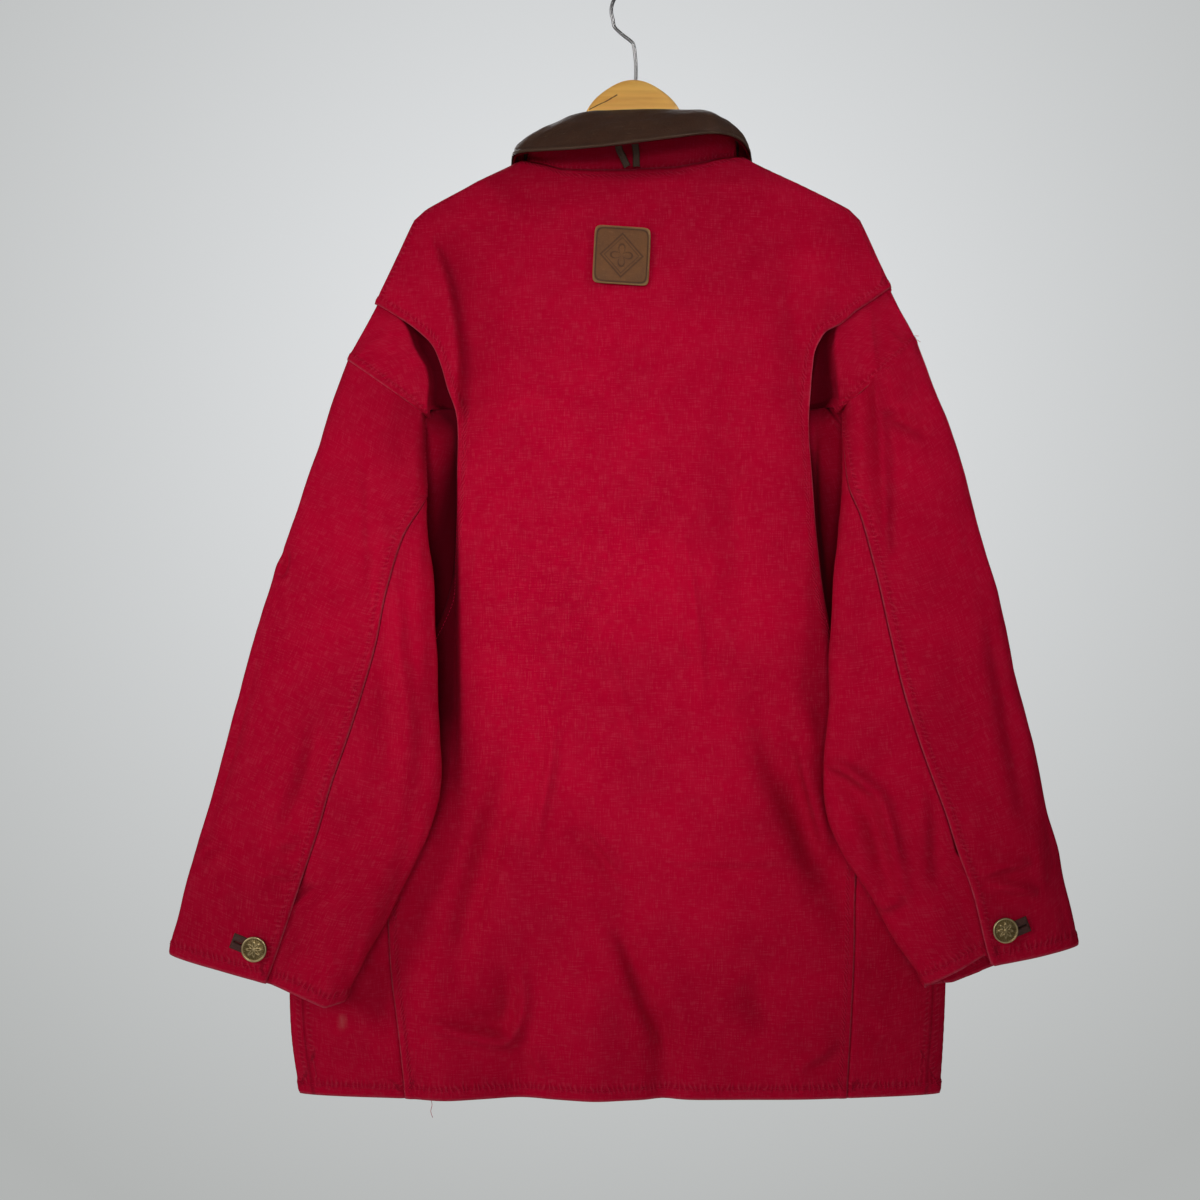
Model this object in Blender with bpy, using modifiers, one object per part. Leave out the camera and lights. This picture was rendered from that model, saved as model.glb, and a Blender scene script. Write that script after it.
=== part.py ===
"""Hunting jacket hanging on a wooden coat hanger, its back toward +Y and its front toward -Y.

Lengths in the tables are millimetres. The origin is the inside top of the hanger's hook, x runs toward
the wearer's left and "down" is the distance below the hook. Each panel is a grid between two edges, and
its depth comes from the body's sections; the wall grows outward from that surface.
"""

import bmesh
import bpy
import numpy as np
from mathutils import Matrix

MM = 0.001
CLOTH = 2.0
LEATHER = 1.8
SEAM_GAP = 0.3

for old in list(bpy.data.objects):
    bpy.data.objects.remove(old)

jacket = bpy.data.collections.new("hunting_jacket")
helpers = bpy.data.collections.new("cutters")
helpers.hide_render = True
bpy.context.scene.collection.children.link(jacket)
bpy.context.scene.collection.children.link(helpers)

COLOURS = {
    # name: red, green, blue, roughness, metallic
    "canvas": (0.36, 0.004, 0.022, 0.9, 0.0),
    "collar_leather": (0.045, 0.025, 0.016, 0.55, 0.0),
    "patch_leather": (0.19, 0.10, 0.05, 0.6, 0.0),
    "brass": (0.20, 0.14, 0.06, 0.4, 1.0),
    "wood": (0.55, 0.28, 0.07, 0.35, 0.0),
    "steel": (0.6, 0.6, 0.6, 0.25, 1.0),
}


def finish(obj, look):
    """Files the object under the jacket and gives it a material of its own."""
    red, green, blue, roughness, metallic = COLOURS[look]
    material = bpy.data.materials.new(obj.name + "_" + look)
    material.use_nodes = True
    shader = material.node_tree.nodes["Principled BSDF"]
    shader.inputs["Base Color"].default_value = (red, green, blue, 1)
    shader.inputs["Roughness"].default_value = roughness
    shader.inputs["Metallic"].default_value = metallic
    obj.data.materials.append(material)
    jacket.objects.link(obj)
    return obj


def sheet(name, grid, look, thickness, flip=False, closed=False, grows=1):
    """Makes a wall from a grid of points: rows run down, columns toward -X on the side that faces +Y.

    grows is 1 for a wall that thickens outward and -1 for one that thickens inward.
    """
    rows, columns = grid.shape[:2]
    number = np.arange(rows * columns).reshape(rows, columns)
    if closed:
        number = np.concatenate([number, number[:, :1]], axis=1)
    quads = np.stack([number[:-1, :-1], number[1:, :-1], number[1:, 1:], number[:-1, 1:]], axis=-1)
    quads = quads.reshape(-1, 4)
    if flip:
        quads = quads[:, ::-1]
    mesh = bpy.data.meshes.new(name)
    mesh.from_pydata((grid.reshape(-1, 3) * MM).tolist(), [], quads.tolist())
    obj = bpy.data.objects.new(name, mesh)
    wall = obj.modifiers.new("wall", "SOLIDIFY")
    wall.thickness = thickness * MM
    wall.offset = grows
    return finish(obj, look)


def turned(name, profile, look, centre, axis, steps=12):
    """Turns a profile of (radius, height) about an axis, from its first point up to its last."""
    outline = [(radius * MM, 0, height * MM) for radius, height in profile]
    mesh = bpy.data.meshes.new(name)
    mesh.from_pydata(outline, [(i, i + 1) for i in range(len(outline) - 1)], [])
    obj = bpy.data.objects.new(name, mesh)
    screw = obj.modifiers.new("turn", "SCREW")
    screw.steps = steps
    screw.render_steps = steps
    screw.use_merge_vertices = True
    screw.merge_threshold = 0.0001
    up = np.array(axis, float)
    up /= np.linalg.norm(up)
    side = np.cross((0.0, 0.0, 1.0), up)
    side /= np.linalg.norm(side)
    ahead = np.cross(up, side)
    place = np.eye(4)
    place[:3, 0] = side
    place[:3, 1] = ahead
    place[:3, 2] = up
    place[:3, 3] = np.array(centre) * MM
    obj.matrix_world = place.T.tolist()
    return finish(obj, look)


def smooth(at, knots, values):
    """Cubic curve through a table's rows, with slopes taken from the neighbouring rows."""
    knots = np.asarray(knots, float)
    values = np.asarray(values, float)
    at = np.clip(at, knots[0], knots[-1])
    slopes = np.gradient(values, knots, axis=0)
    row = np.clip(np.searchsorted(knots, at, side="right") - 1, 0, len(knots) - 2)
    step = knots[row + 1] - knots[row]
    t = (at - knots[row]) / step
    if values.ndim > 1:
        t = t[..., None]
        step = step[..., None]
    start = (1 + 2 * t) * (1 - t) ** 2 * values[row] + t * (1 - t) ** 2 * step * slopes[row]
    end = t * t * (3 - 2 * t) * values[row + 1] + t * t * (t - 1) * step * slopes[row + 1]
    return start + end


def along(points, count):
    """So many points at even steps along a polyline."""
    points = np.asarray(points, float)
    run = np.concatenate([[0], np.cumsum(np.linalg.norm(np.diff(points, axis=0), axis=1))])
    return smooth(np.linspace(0, run[-1], count), run, points)


# ---- The body's sections: outline left and right, depth of the side edge, back and front, roundness ----
SECTIONS = np.array([
    # down, left, right, side, back, front, power
    (140, 88, -88, 0, 33, 24, 1.00),
    (152, 101, -107, 0, 34, 25, 1.00),
    (158, 111, -119, 0, 35, 26, 1.00),
    (170, 140, -144, 0, 36, 27, 1.00),
    (193, 185, -191, 0, 37, 30, 0.95),
    (203, 196, -200, 0, 37, 32, 0.90),
    (240, 214, -218, 0, 38, 34, 0.85),
    (277, 231, -234, 0, 38, 35, 0.75),
    (330, 238, -236, -3, 37, 36, 0.65),
    (370, 230, -222, -8, 36, 36, 0.60),
    (396, 222, -212, -11, 35, 36, 0.55),
    (420, 236, -224, -11, 34, 36, 0.52),
    (450, 252, -238, -8, 33, 36, 0.50),
    (489, 266, -250, -4, 32, 36, 0.50),
    (542, 278, -259, 0, 31, 36, 0.50),
    (630, 290, -268, 0, 30, 35, 0.50),
    (719, 297, -272, 0, 30, 34, 0.50),
    (807, 302, -274, 0, 30, 33, 0.50),
    (884, 305, -274, 0, 29, 32, 0.50),
    (931, 303, -272, 0, 27, 30, 0.50),
    (978, 296, -269, 0, 24, 28, 0.50),
])

BACK_FOLDS = [
    # from x, from down, to x, to down, half width, height (troughs are negative)
    (-112, 640, -176, 800, 20, -9),
    (-150, 650, -166, 760, 9, 5),
    (108, 660, 156, 860, 17, -6),
    (50, 730, 4, 800, 15, -5),
    (14, 825, -32, 940, 15, -5),
    (172, 880, 168, 978, 24, 8),
    (104, 890, 100, 978, 26, -9),
    (34, 880, 34, 978, 22, 5),
    (-24, 920, -24, 978, 14, -7),
    (-110, 880, -150, 978, 40, 3),
    (-136, 250, -150, 380, 14, -4),
    (136, 250, 150, 380, 14, -3),
]
FRONT_FOLDS = [
    (120, 330, 150, 700, 26, 5),
    (-110, 360, -160, 760, 24, 6),
    (70, 640, 110, 978, 22, 6),
    (-60, 700, -90, 978, 24, -6),
    (180, 760, 200, 978, 24, -7),
    (-190, 720, -180, 978, 22, 5),
]
VALLEY = np.array([
    # down, depth of the valley that each sleeve presses into the back
    (290, 0),
    (360, 8),
    (400, 20),
    (430, 17),
    (480, 14),
    (600, 12),
    (720, 8),
    (820, 2),
    (880, 0),
])
VALLEY_MIDDLE = 6
VALLEY_OUT = 188
VALLEY_WIDTH = 34


def folds(table, x, down):
    """Sum of the table's folds: each one fades off across its line and toward its ends."""
    total = np.zeros(np.shape(x))
    for x0, d0, x1, d1, half_width, height in table:
        line = np.array([x1 - x0, d1 - d0], float)
        length = np.linalg.norm(line)
        share = ((x - x0) * line[0] + (down - d0) * line[1]) / length**2
        across = ((x - x0) * line[1] - (down - d0) * line[0]) / length
        beyond = np.clip(np.abs(share - 0.5) - 0.5, 0, None) * length
        total += height * np.exp(-((across / half_width) ** 2) - (beyond / (1.5 * half_width)) ** 2)
    return total


def section(x, down):
    """How near the middle each point is (1 at the middle, 0 on the edge), with the section's columns."""
    left, right, side, back, front, power = smooth(down, SECTIONS[:, 0], SECTIONS[:, 1:]).transpose(
        (-1,) + tuple(range(np.ndim(down))))
    middle = (left + right) / 2
    across = np.clip((x - middle) / ((left - right) / 2), -1, 1)
    return (1 - across**2), side, back, front, power


def back_depth(x, down):
    x, down = np.broadcast_arrays(np.asarray(x, float), np.asarray(down, float))
    inside, side, back, front, power = section(x, down)
    from_valley = np.abs(x - VALLEY_MIDDLE) - VALLEY_OUT
    valley = smooth(down, VALLEY[:, 0], VALLEY[:, 1]) * np.exp(-((from_valley / VALLEY_WIDTH) ** 2))
    rest = (folds(BACK_FOLDS, x, down) - valley) * np.sqrt(inside)
    return side + (back - side) * inside**power + rest


def front_depth(x, down):
    x, down = np.broadcast_arrays(np.asarray(x, float), np.asarray(down, float))
    inside, side, back, front, power = section(x, down)
    return side - (front + side) * inside**power - folds(FRONT_FOLDS, x, down) * np.sqrt(inside)


SIDE_TOP = 398
HEM = 978
SIDE_ROWS = np.linspace(SIDE_TOP, HEM, 19)


def edge_points(edge, upper_rows):
    """Points of a panel's edge: some rows above the side panel's top, then the rows that it shares."""
    fine = along(edge, 600)
    start = int(np.argmax(fine[:, 1] >= SIDE_TOP - 1))
    upper = fine[np.linspace(0, start, upper_rows + 1).round().astype(int)[:-1]]
    lower = np.stack([np.interp(SIDE_ROWS, fine[start - 1:, 1], fine[start - 1:, 0]), SIDE_ROWS], axis=-1)
    return np.concatenate([upper, lower])


def toward_edges(columns, crowding):
    """Shares from 0 to 1 whose steps are shorter near both ends; crowding is 0 for even steps."""
    even = np.linspace(0, 1, columns)
    return (1 - crowding) * even + crowding * (0.5 - 0.5 * np.cos(np.pi * even))


def bowed(x, down, top, reach):
    """down, with its first row laid on the top line and later rows straightening out over a share of them."""
    top = np.asarray(sorted(top), float)
    bow = np.interp(x[0], top[:, 0], top[:, 1]) - down[0]
    fade = np.clip(1 - np.linspace(0, 1, len(x)) / reach, 0, 1) ** 2
    return down + fade[:, None] * bow


# ---- Edges of the panels, each as (x, down) ----
SHOULDERS_AND_BACK_NECK = [
    (231, 279), (196, 205), (185, 195), (140, 172), (111, 160.5), (101, 155),
    (87, 159), (65, 166), (40, 168.3), (7, 169), (-36, 166), (-60, 160), (-76, 154.5), (-96, 150),
    (-118, 160.5), (-144, 172), (-190, 195), (-200, 205), (-227.5, 264.5),
]
BACK_EDGE_LEFT = [
    (231, 279), (212, 291), (192, 305), (177, 320), (170, 336), (164, 357), (157, 377), (155, 400),
    (156, 430), (161, 491), (170, 542), (190, 590), (206, 640), (215, 700), (217, 772), (214, 862),
    (207, 920), (201, 978),
]
BACK_EDGE_RIGHT = [
    (-227.5, 264.5), (-208, 279), (-192, 290), (-179, 301), (-166, 308), (-158, 322), (-155, 340),
    (-153, 362), (-152, 400), (-154, 431), (-159, 491), (-166, 542), (-180, 590), (-190, 640),
    (-195, 700), (-194, 772), (-191, 856), (-185, 977),
]
BACK_UPPER_ROWS = 12
back_left = edge_points(BACK_EDGE_LEFT, BACK_UPPER_ROWS)
back_right = edge_points(BACK_EDGE_RIGHT, BACK_UPPER_ROWS)
back_x, back_down = np.moveaxis(
    back_left[:, None] + (back_right - back_left)[:, None] * toward_edges(25, 0.45)[:, None], -1, 0)
back_down = bowed(back_x, back_down, SHOULDERS_AND_BACK_NECK, 0.5)
sheet("back", np.stack([back_x, back_depth(back_x, back_down), -back_down], axis=-1), "canvas", CLOTH)

# The side panels run from the back seam round to the side seam. Above the waist they tuck beneath the
# back's free edge, which is the pleat that lets the shoulders move.
TUCK = np.array([
    # down, reach beneath the back's edge, drop beneath it
    (380, 12, 4.6),
    (550, 12, 4.6),
    (590, -SEAM_GAP, 4.4),
    (650, -SEAM_GAP, 0),
    (1000, -SEAM_GAP, 0),
])


def side_panel(name, back_edge, side):
    """Side panel: the drop beneath the back fades off over the columns that lie clear of its edge."""
    seam = edge_points(back_edge, 1)[1:, 0]
    outline = smooth(SIDE_ROWS, SECTIONS[:, 0], SECTIONS[:, 1 if side > 0 else 2])
    middle = smooth(SIDE_ROWS, SECTIONS[:, 0], (SECTIONS[:, 1] + SECTIONS[:, 2]) / 2)
    start = seam - side * np.interp(SIDE_ROWS, TUCK[:, 0], TUCK[:, 1])
    drop = np.interp(SIDE_ROWS, TUCK[:, 0], TUCK[:, 2])
    half = np.abs(outline - middle)
    first = np.arccos(np.clip(np.abs(start - middle) / half, 0, 1))
    even = np.linspace(1, 0, 9)
    angle = first[:, None] * even
    x = middle[:, None] + side * half[:, None] * np.cos(angle)
    down = np.broadcast_to(SIDE_ROWS[:, None], x.shape)
    near_seam = np.clip((even - 0.45) / 0.4, 0, 1)
    y = back_depth(x, down) - drop[:, None] * near_seam
    sheet(name, np.stack([x, y, -down], axis=-1), "canvas", CLOTH, flip=side > 0)


side_panel("side_left", BACK_EDGE_LEFT, 1)
side_panel("side_right", BACK_EDGE_RIGHT, -1)

# The fronts meet the side panels on the outline, and overlap 34 mm at the buttons, left over right.
CENTRE = 7
OVERLAP = 17
FRONT_HOLE_LEFT = [(231, 279), (212, 290), (190, 306), (174, 328), (168, 350), (174, 372), (196, 390)]
FRONT_HOLE_RIGHT = [
    (-227.5, 264.5), (-208, 280), (-188, 298), (-172, 322), (-166, 348), (-171, 371), (-190, 389),
]
FRONT_NECK_LEFT = [(101, 155), (97, 175), (84, 202), (60, 224), (34, 234), (CENTRE - OVERLAP, 238)]
FRONT_NECK_RIGHT = [(-96, 150), (-92, 172), (-76, 202), (-50, 224), (-20, 234), (CENTRE + OVERLAP, 238)]
HOLE_ROWS = 8
HOLE_LOW = 340
LAP_START = 92
LAP_FADE = 50


def front_panel(name, side, hole, shoulder, neck, drop):
    """Front from its armhole and side seam to its button edge; drop sets it beneath the other front."""
    outline = smooth(SIDE_ROWS, SECTIONS[:, 0], SECTIONS[:, 1 if side > 0 else 2]) - side * 0.02
    foot = (outline[0], SIDE_TOP)
    upper = along(hole + [foot], HOLE_ROWS + 1)[:-1]
    outer = np.concatenate([upper, np.stack([outline, SIDE_ROWS], axis=-1)])
    shares = np.linspace(0, 1, len(outer))
    inner_down = neck[-1][1] + (HEM - neck[-1][1]) * shares
    inner = np.stack([np.full(len(outer), CENTRE - side * OVERLAP), inner_down], axis=-1)
    below = np.clip((outer[:, 1] - HOLE_LOW) / (SIDE_TOP - HOLE_LOW), 0, 1)[:, None]
    round_side = 1 - np.cos(np.pi / 2 * np.linspace(0, 1, 13)**0.8)
    u = (1 - below) * toward_edges(13, 0.4) + below * round_side
    x = outer[:, :1] + (inner[:, :1] - outer[:, :1]) * u
    down = outer[:, 1:] + (inner[:, 1:] - outer[:, 1:]) * u
    down = bowed(x, down, shoulder + neck, 0.45)
    lap = np.clip((LAP_START - side * (x - CENTRE)) / LAP_FADE, 0, 1)
    y = front_depth(x, down) + drop * lap
    sheet(name, np.stack([x, y, -down], axis=-1), "canvas", CLOTH, flip=side > 0)


SHOULDER_LEFT = [(231, 279), (196, 205), (185, 195), (140, 172), (111, 160.5)]
SHOULDER_RIGHT = [(-227.5, 264.5), (-200, 205), (-190, 195), (-144, 172), (-118, 160.5)]
front_panel("front_left", 1, FRONT_HOLE_LEFT, SHOULDER_LEFT, FRONT_NECK_LEFT, 0)
front_panel("front_right", -1, FRONT_HOLE_RIGHT, SHOULDER_RIGHT, FRONT_NECK_RIGHT, CLOTH + 0.9)

# ---- Sleeves: rings from the shoulder seam to the cuff, out at the elbow side and in beside the body ----
# "seam" is the elbow seam's place across the sleeve, 0 at the outer edge and 1 at the inner edge.
SLEEVE_LEFT = np.array([
    # outer x, down, inner x, down, depth of the middle, half depth, seam
    (250, 326, 188, 371, 2, 18, 1.04),
    (263.5, 369, 186, 413, 20, 17, 1.02),
    (277, 420, 183, 454, 34, 18, 1.00),
    (293, 471, 182, 493, 40, 18, 0.84),
    (309, 520, 177, 541, 44, 18, 0.73),
    (325, 571, 173, 588, 47, 18, 0.68),
    (340, 628, 172, 636, 49, 19, 0.62),
    (357, 692, 168, 698, 50, 19, 0.53),
    (368, 731, 176, 738, 50, 19, 0.52),
    (381, 774, 200, 785, 50, 19, 0.54),
    (389, 809, 222, 831, 50, 18, 0.55),
    (398, 845, 251, 885, 50, 17, 0.575),
])
SLEEVE_RIGHT = np.array([
    # outer x, down, inner x, down, depth of the middle, half depth, seam
    (-246, 312, -186, 365, 2, 18, 1.03),
    (-258, 355, -183, 402, 19, 17, 1.00),
    (-273, 400, -180, 446, 33, 18, 0.957),
    (-284, 446, -176, 480, 39, 18, 0.84),
    (-295, 492, -171, 532, 43, 18, 0.73),
    (-310, 542, -168, 575, 46, 18, 0.68),
    (-324, 607, -166, 628, 48, 19, 0.62),
    (-339, 671, -162, 679, 50, 19, 0.54),
    (-351, 718, -165, 722, 50, 19, 0.49),
    (-360, 751, -177, 755, 50, 19, 0.49),
    (-365, 786, -209, 805, 50, 18, 0.51),
    (-377, 837, -249, 871, 50, 17, 0.60),
])
CUFF_LEFT = np.array([
    # place across, drop of the near hem, drop of the far hem
    (0.0, 0, 0),
    (0.3, -1, -2),
    (0.6, -1, -3),
    (0.75, 3, -2),
    (0.9, 8, 0),
    (1.0, 0, 0),
])
CUFF_RIGHT = np.array([
    # place across, drop of the near hem, drop of the far hem
    (0.0, 0, 0),
    (0.3, -2, 2),
    (0.59, -5, 6),
    (0.62, -17, 7),
    (0.8, -8, 9),
    (1.0, 0, 3),
])
VENT_ROWS = 2.35
VENT_LAP = 0.17
FRONT_SEAM = 0.86
SLEEVE_DEPTH = 18


def sleeve_points(rows, cuff, row, turn):
    """Points of a sleeve. row counts down the table; turn is 0 outside, pi inside, and past pi in front."""
    row, turn = np.broadcast_arrays(np.asarray(row, float), np.asarray(turn, float))
    ox, od, ix, idn, depth, half, _ = np.moveaxis(smooth(row, np.arange(len(rows)), rows), -1, 0)
    across = (1 - np.cos(turn)) / 2
    x = ox + (ix - ox) * across
    down = od + (idn - od) * across
    y = depth + half * np.sign(np.sin(turn)) * np.abs(np.sin(turn)) ** 0.85
    near = np.interp(across, cuff[:, 0], cuff[:, 1])
    far = np.interp(across, cuff[:, 0], cuff[:, 2])
    low = np.clip(row - (len(rows) - 2), 0, 1) ** 2
    down = down + low * np.where(np.sin(turn) > 0, near, far)
    return np.stack([x, y, -down], axis=-1)


def outward(points, rows, row):
    """Unit vectors from the sleeve's middle line to each point, across the sleeve."""
    middle = smooth(row, np.arange(len(rows)), rows)
    centre = np.stack([(middle[..., 0] + middle[..., 2]) / 2, middle[..., 4],
                       -(middle[..., 1] + middle[..., 3]) / 2], axis=-1)
    away = points - centre
    away[..., 1] *= 4
    return away / np.linalg.norm(away, axis=-1, keepdims=True)


def sleeve(side, label, rows, cuff):
    """Top and under sleeve, from the armhole band to the cuff; the under sleeve laps beneath at the vent."""
    last = len(rows) - 1
    above_vent = np.linspace(0.01, last - VENT_ROWS, 13)
    row = np.concatenate([above_vent, np.linspace(last - VENT_ROWS, last, 6)[1:]])
    seam = smooth(row, np.arange(len(rows)), rows[:, 6])
    seam_turn = np.where(seam <= 1, np.arccos(1 - 2 * np.clip(seam, 0, 1)),
                         2 * np.pi - np.arccos(1 - 2 * np.clip(2 - seam, 0, 1)))
    front_turn = 2 * np.pi - np.arccos(1 - 2 * FRONT_SEAM)
    wide = smooth(row, np.arange(len(rows)), np.hypot(rows[:, 0] - rows[:, 2], rows[:, 1] - rows[:, 3])) / 2
    gap = 1.7 * SEAM_GAP / np.hypot(wide * np.sin(seam_turn), SLEEVE_DEPTH * np.cos(seam_turn))
    front_gap = 0.6 * SEAM_GAP / np.hypot(wide * np.sin(front_turn), SLEEVE_DEPTH * np.cos(front_turn))
    even = np.linspace(0, 1, 13)
    start = front_turn - 2 * np.pi + front_gap
    top_turn = start[:, None] + (seam_turn - gap - start)[:, None] * even
    top_row = np.broadcast_to(row[:, None], top_turn.shape)
    sheet("sleeve_top_" + label, sleeve_points(rows, cuff, top_row, top_turn), "canvas", CLOTH,
          flip=side < 0)
    even = np.linspace(0, 1, 11)
    vent = np.clip((row - (last - VENT_ROWS)) / 0.4, 0, 1)
    lapped = np.clip((row - (last - VENT_ROWS) - 0.47) / 0.47, 0, 1)
    first = seam_turn + gap - lapped * VENT_LAP
    turn = first[:, None] + (front_turn - front_gap - first)[:, None] * even**1.15
    under_row = np.broadcast_to(row[:, None], turn.shape)
    points = sleeve_points(rows, cuff, under_row, turn)
    inset = vent[:, None] * np.clip((0.30 - even) / 0.12, 0, 1) * (CLOTH + 1.0)
    points = points - inset[..., None] * outward(points, rows, under_row)
    sheet("sleeve_under_" + label, points, "canvas", CLOTH, flip=side < 0)


sleeve(1, "left", SLEEVE_LEFT, CUFF_LEFT)
sleeve(-1, "right", SLEEVE_RIGHT, CUFF_RIGHT)

# ---- Armhole bands: a ring beneath the body panels' edges, then the sleeve seam ----
ARMHOLE_LEFT = np.array([
    # x, down, share of the back's depth (of the front's when negative)
    (223, 270, 0.0),
    (208, 285, 1.0),
    (186, 297, 1.0),
    (168, 315, 1.0),
    (158, 338, 1.0),
    (151, 364, 1.0),
    (154, 384, 0.9),
    (168, 392, 0.45),
    (178, 388, -0.1),
    (172, 372, -0.7),
    (164, 350, -1.0),
    (170, 324, -1.0),
    (188, 300, -1.0),
    (209, 286, -1.0),
])
ARMHOLE_RIGHT = np.array([
    # x, down, share of the back's depth (of the front's when negative)
    (-221, 256, 0.0),
    (-204, 274, 1.0),
    (-184, 286, 1.0),
    (-162, 304, 1.0),
    (-149, 326, 1.0),
    (-146, 358, 1.0),
    (-150, 382, 0.9),
    (-164, 391, 0.45),
    (-174, 387, -0.1),
    (-170, 371, -0.7),
    (-162, 348, -1.0),
    (-168, 320, -1.0),
    (-186, 294, -1.0),
    (-206, 276, -1.0),
])


BAND_COLUMNS = 28
BAND_LOW = 8
UNDER_BACK = 4.2
UNDER_FRONT = 1.9


def band(side, label, hole, rows, cuff):
    """Ring from the armhole's line to the sleeve's first ring; the line is lowest at row BAND_LOW."""
    closed = np.concatenate([hole, hole[:1]])
    run = np.concatenate([[0], np.cumsum(np.hypot(*np.diff(closed[:, :2], axis=0).T))])
    share = np.linspace(0, 1, BAND_COLUMNS, endpoint=False)
    turn = np.interp(share, [0, run[BAND_LOW] / run[-1], 1], [0, np.pi, 2 * np.pi])
    x, down, part = smooth(share * run[-1], run, closed).T
    back = back_depth(x, down) - UNDER_BACK
    front = front_depth(x, down) + UNDER_FRONT
    edge = section(x, down)[1]
    y = np.where(part > 0, edge + (back - edge) * part, edge - (edge - front) * -part)
    first = np.stack([x, y, -down], axis=-1)
    last = sleeve_points(rows, cuff, np.zeros(BAND_COLUMNS), turn)
    last[:, 2] += 0.4 + 3.4 * ((1 - np.cos(turn)) / 2) ** 3
    steps = np.linspace(0, 1, 5)[:, None, None]
    grid = first + (last - first) * steps
    sheet("band_" + label, grid, "canvas", CLOTH, flip=side < 0, closed=True, grows=-1)


band(1, "left", ARMHOLE_LEFT, SLEEVE_LEFT, CUFF_LEFT)
band(-1, "right", ARMHOLE_RIGHT, SLEEVE_RIGHT, CUFF_RIGHT)

# ---- Collar: a stand on the neck seam, an under-collar and a leather leaf folded over it ----
COLLAR = np.array([
    # place, fold x, y, down, free edge x, y, down
    (0, 16, -45, 217, 64, -62, 290),
    (1, 46, -44, 206, 92, -58, 258),
    (2, 74, -35, 186, 118, -46, 214),
    (3, 93, -18, 166, 124, -26, 172),
    (4, 97, 2, 148, 118, 6, 154.5),
    (5, 88, 18, 139.5, 104, 32, 156),
    (6, 68, 28, 127, 84, 56, 159.5),
    (7, 44, 33.5, 120, 50, 76, 163),
    (8, 4, 36.5, 119, 14, 80, 160.5),
    (9, -37, 35, 118.5, -28, 78, 154.5),
    (10, -62, 30, 118.5, -58, 69, 148.5),
    (11, -80, 21, 128, -80, 50, 144.5),
    (12, -91, 6, 138, -100, 20, 145.5),
    (13, -91, -14, 155, -114, -16, 157),
    (14, -72, -32, 180, -114, -40, 206),
    (15, -38, -43, 204, -86, -54, 254),
    (16, 0, -45, 217, -50, -62, 290),
])
STATIONS = np.linspace(0, 16, 37)
LEAF_ARCH = 5.0
UNDER_LEAF = 2.7
FOLD = smooth(STATIONS, COLLAR[:, 0], COLLAR[:, 1:4]) * (1, 1, -1)
FREE = smooth(STATIONS, COLLAR[:, 0], COLLAR[:, 4:7]) * (1, 1, -1)
FALL = FREE - FOLD
AHEAD = np.gradient(FOLD, axis=0)
LIFT = np.cross(FALL, AHEAD)
LIFT /= np.linalg.norm(LIFT, axis=1, keepdims=True)


def leaf(shares, above):
    """Rows of the leaf from the fold to the free edge, arched upward and lifted by a distance."""
    share = np.asarray(shares)[:, None, None]
    lift = LEAF_ARCH * np.sin(np.pi * np.clip(share, 0, 1)) ** 0.8 + above
    return FOLD + FALL * share + LIFT * lift


over = leaf([0.04, 0.2, 0.42, 0.64, 0.84, 1.0], 0.0)
crest = FOLD + (0, 0, -1.2)
sheet("collar_leaf", np.concatenate([crest[None], over]), "collar_leather", LEATHER)
sheet("under_collar", leaf([0.2, 0.42, 0.64, 0.84, 1.0, 1.02], -UNDER_LEAF), "canvas", 1.4)


def neck_line(x, front):
    """Points of the neck seam at x, on the front's surface or on the back's."""
    top = SHOULDERS_AND_BACK_NECK if not front else FRONT_NECK_LEFT + FRONT_NECK_RIGHT
    top = np.asarray(sorted(top), float)
    down = np.interp(x, top[:, 0], top[:, 1])
    y = front_depth(x, down) if front else back_depth(x, down)
    return np.stack([x, y, -down], axis=-1)


STAND_FOOT = np.array([
    # place, x on the neck seam
    (0, 14),
    (2, 74),
    (3.6, 98),
    (4.4, 98),
    (6, 72),
    (8, 4),
    (10, -54),
    (11.6, -92),
    (12.4, -92),
    (14, -66),
    (16, 0),
])
STAND_CLEAR = np.array([
    # place, distance inside the neck seam
    (0, 6.4),
    (4, 5.4),
    (12, 5.0),
    (13, 7.0),
    (16, 9.0),
])
NECK_MIDDLE = np.array([2.0, 0.0])
STAND_LOW = 2.5
HEAD_IN = 1.2
KNEE = 7.0


def moved_in(points, distance):
    """Points moved level toward the neck's middle."""
    toward = NECK_MIDDLE - points[:, :2]
    moved = points.copy()
    moved[:, :2] += toward / np.linalg.norm(toward, axis=1, keepdims=True) * distance
    return moved


foot_x = np.interp(STATIONS, STAND_FOOT[:, 0], STAND_FOOT[:, 1])
in_front = np.abs(STATIONS - 8)[:, None] > 4
foot = np.where(in_front, neck_line(foot_x, True), neck_line(foot_x, False)) - (0, 0, STAND_LOW)
foot = moved_in(foot, np.interp(STATIONS, STAND_CLEAR[:, 0], STAND_CLEAR[:, 1])[:, None])
head = moved_in(FOLD - (0, 0, STAND_LOW), HEAD_IN)
knee = foot + (0, 0, KNEE)
sheet("collar_stand", np.stack([head, (head + knee) / 2, knee, foot]), "canvas", CLOTH)

# ---- Hanging loop: a leather strap from the neck seam up beneath the leaf and back ----
LOOP = np.array([
    # x, y, down
    (7.2, 37.4, 167.4),
    (11.0, 39.0, 160.0),
    (15.0, 41.5, 150.5),
    (13.5, 42.6, 144.5),
    (8.0, 43.0, 142.0),
    (2.5, 42.6, 144.5),
    (0.5, 41.0, 151.0),
    (-0.5, 37.4, 167.4),
])
LOOP_WIDTH = 5.4


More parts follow.
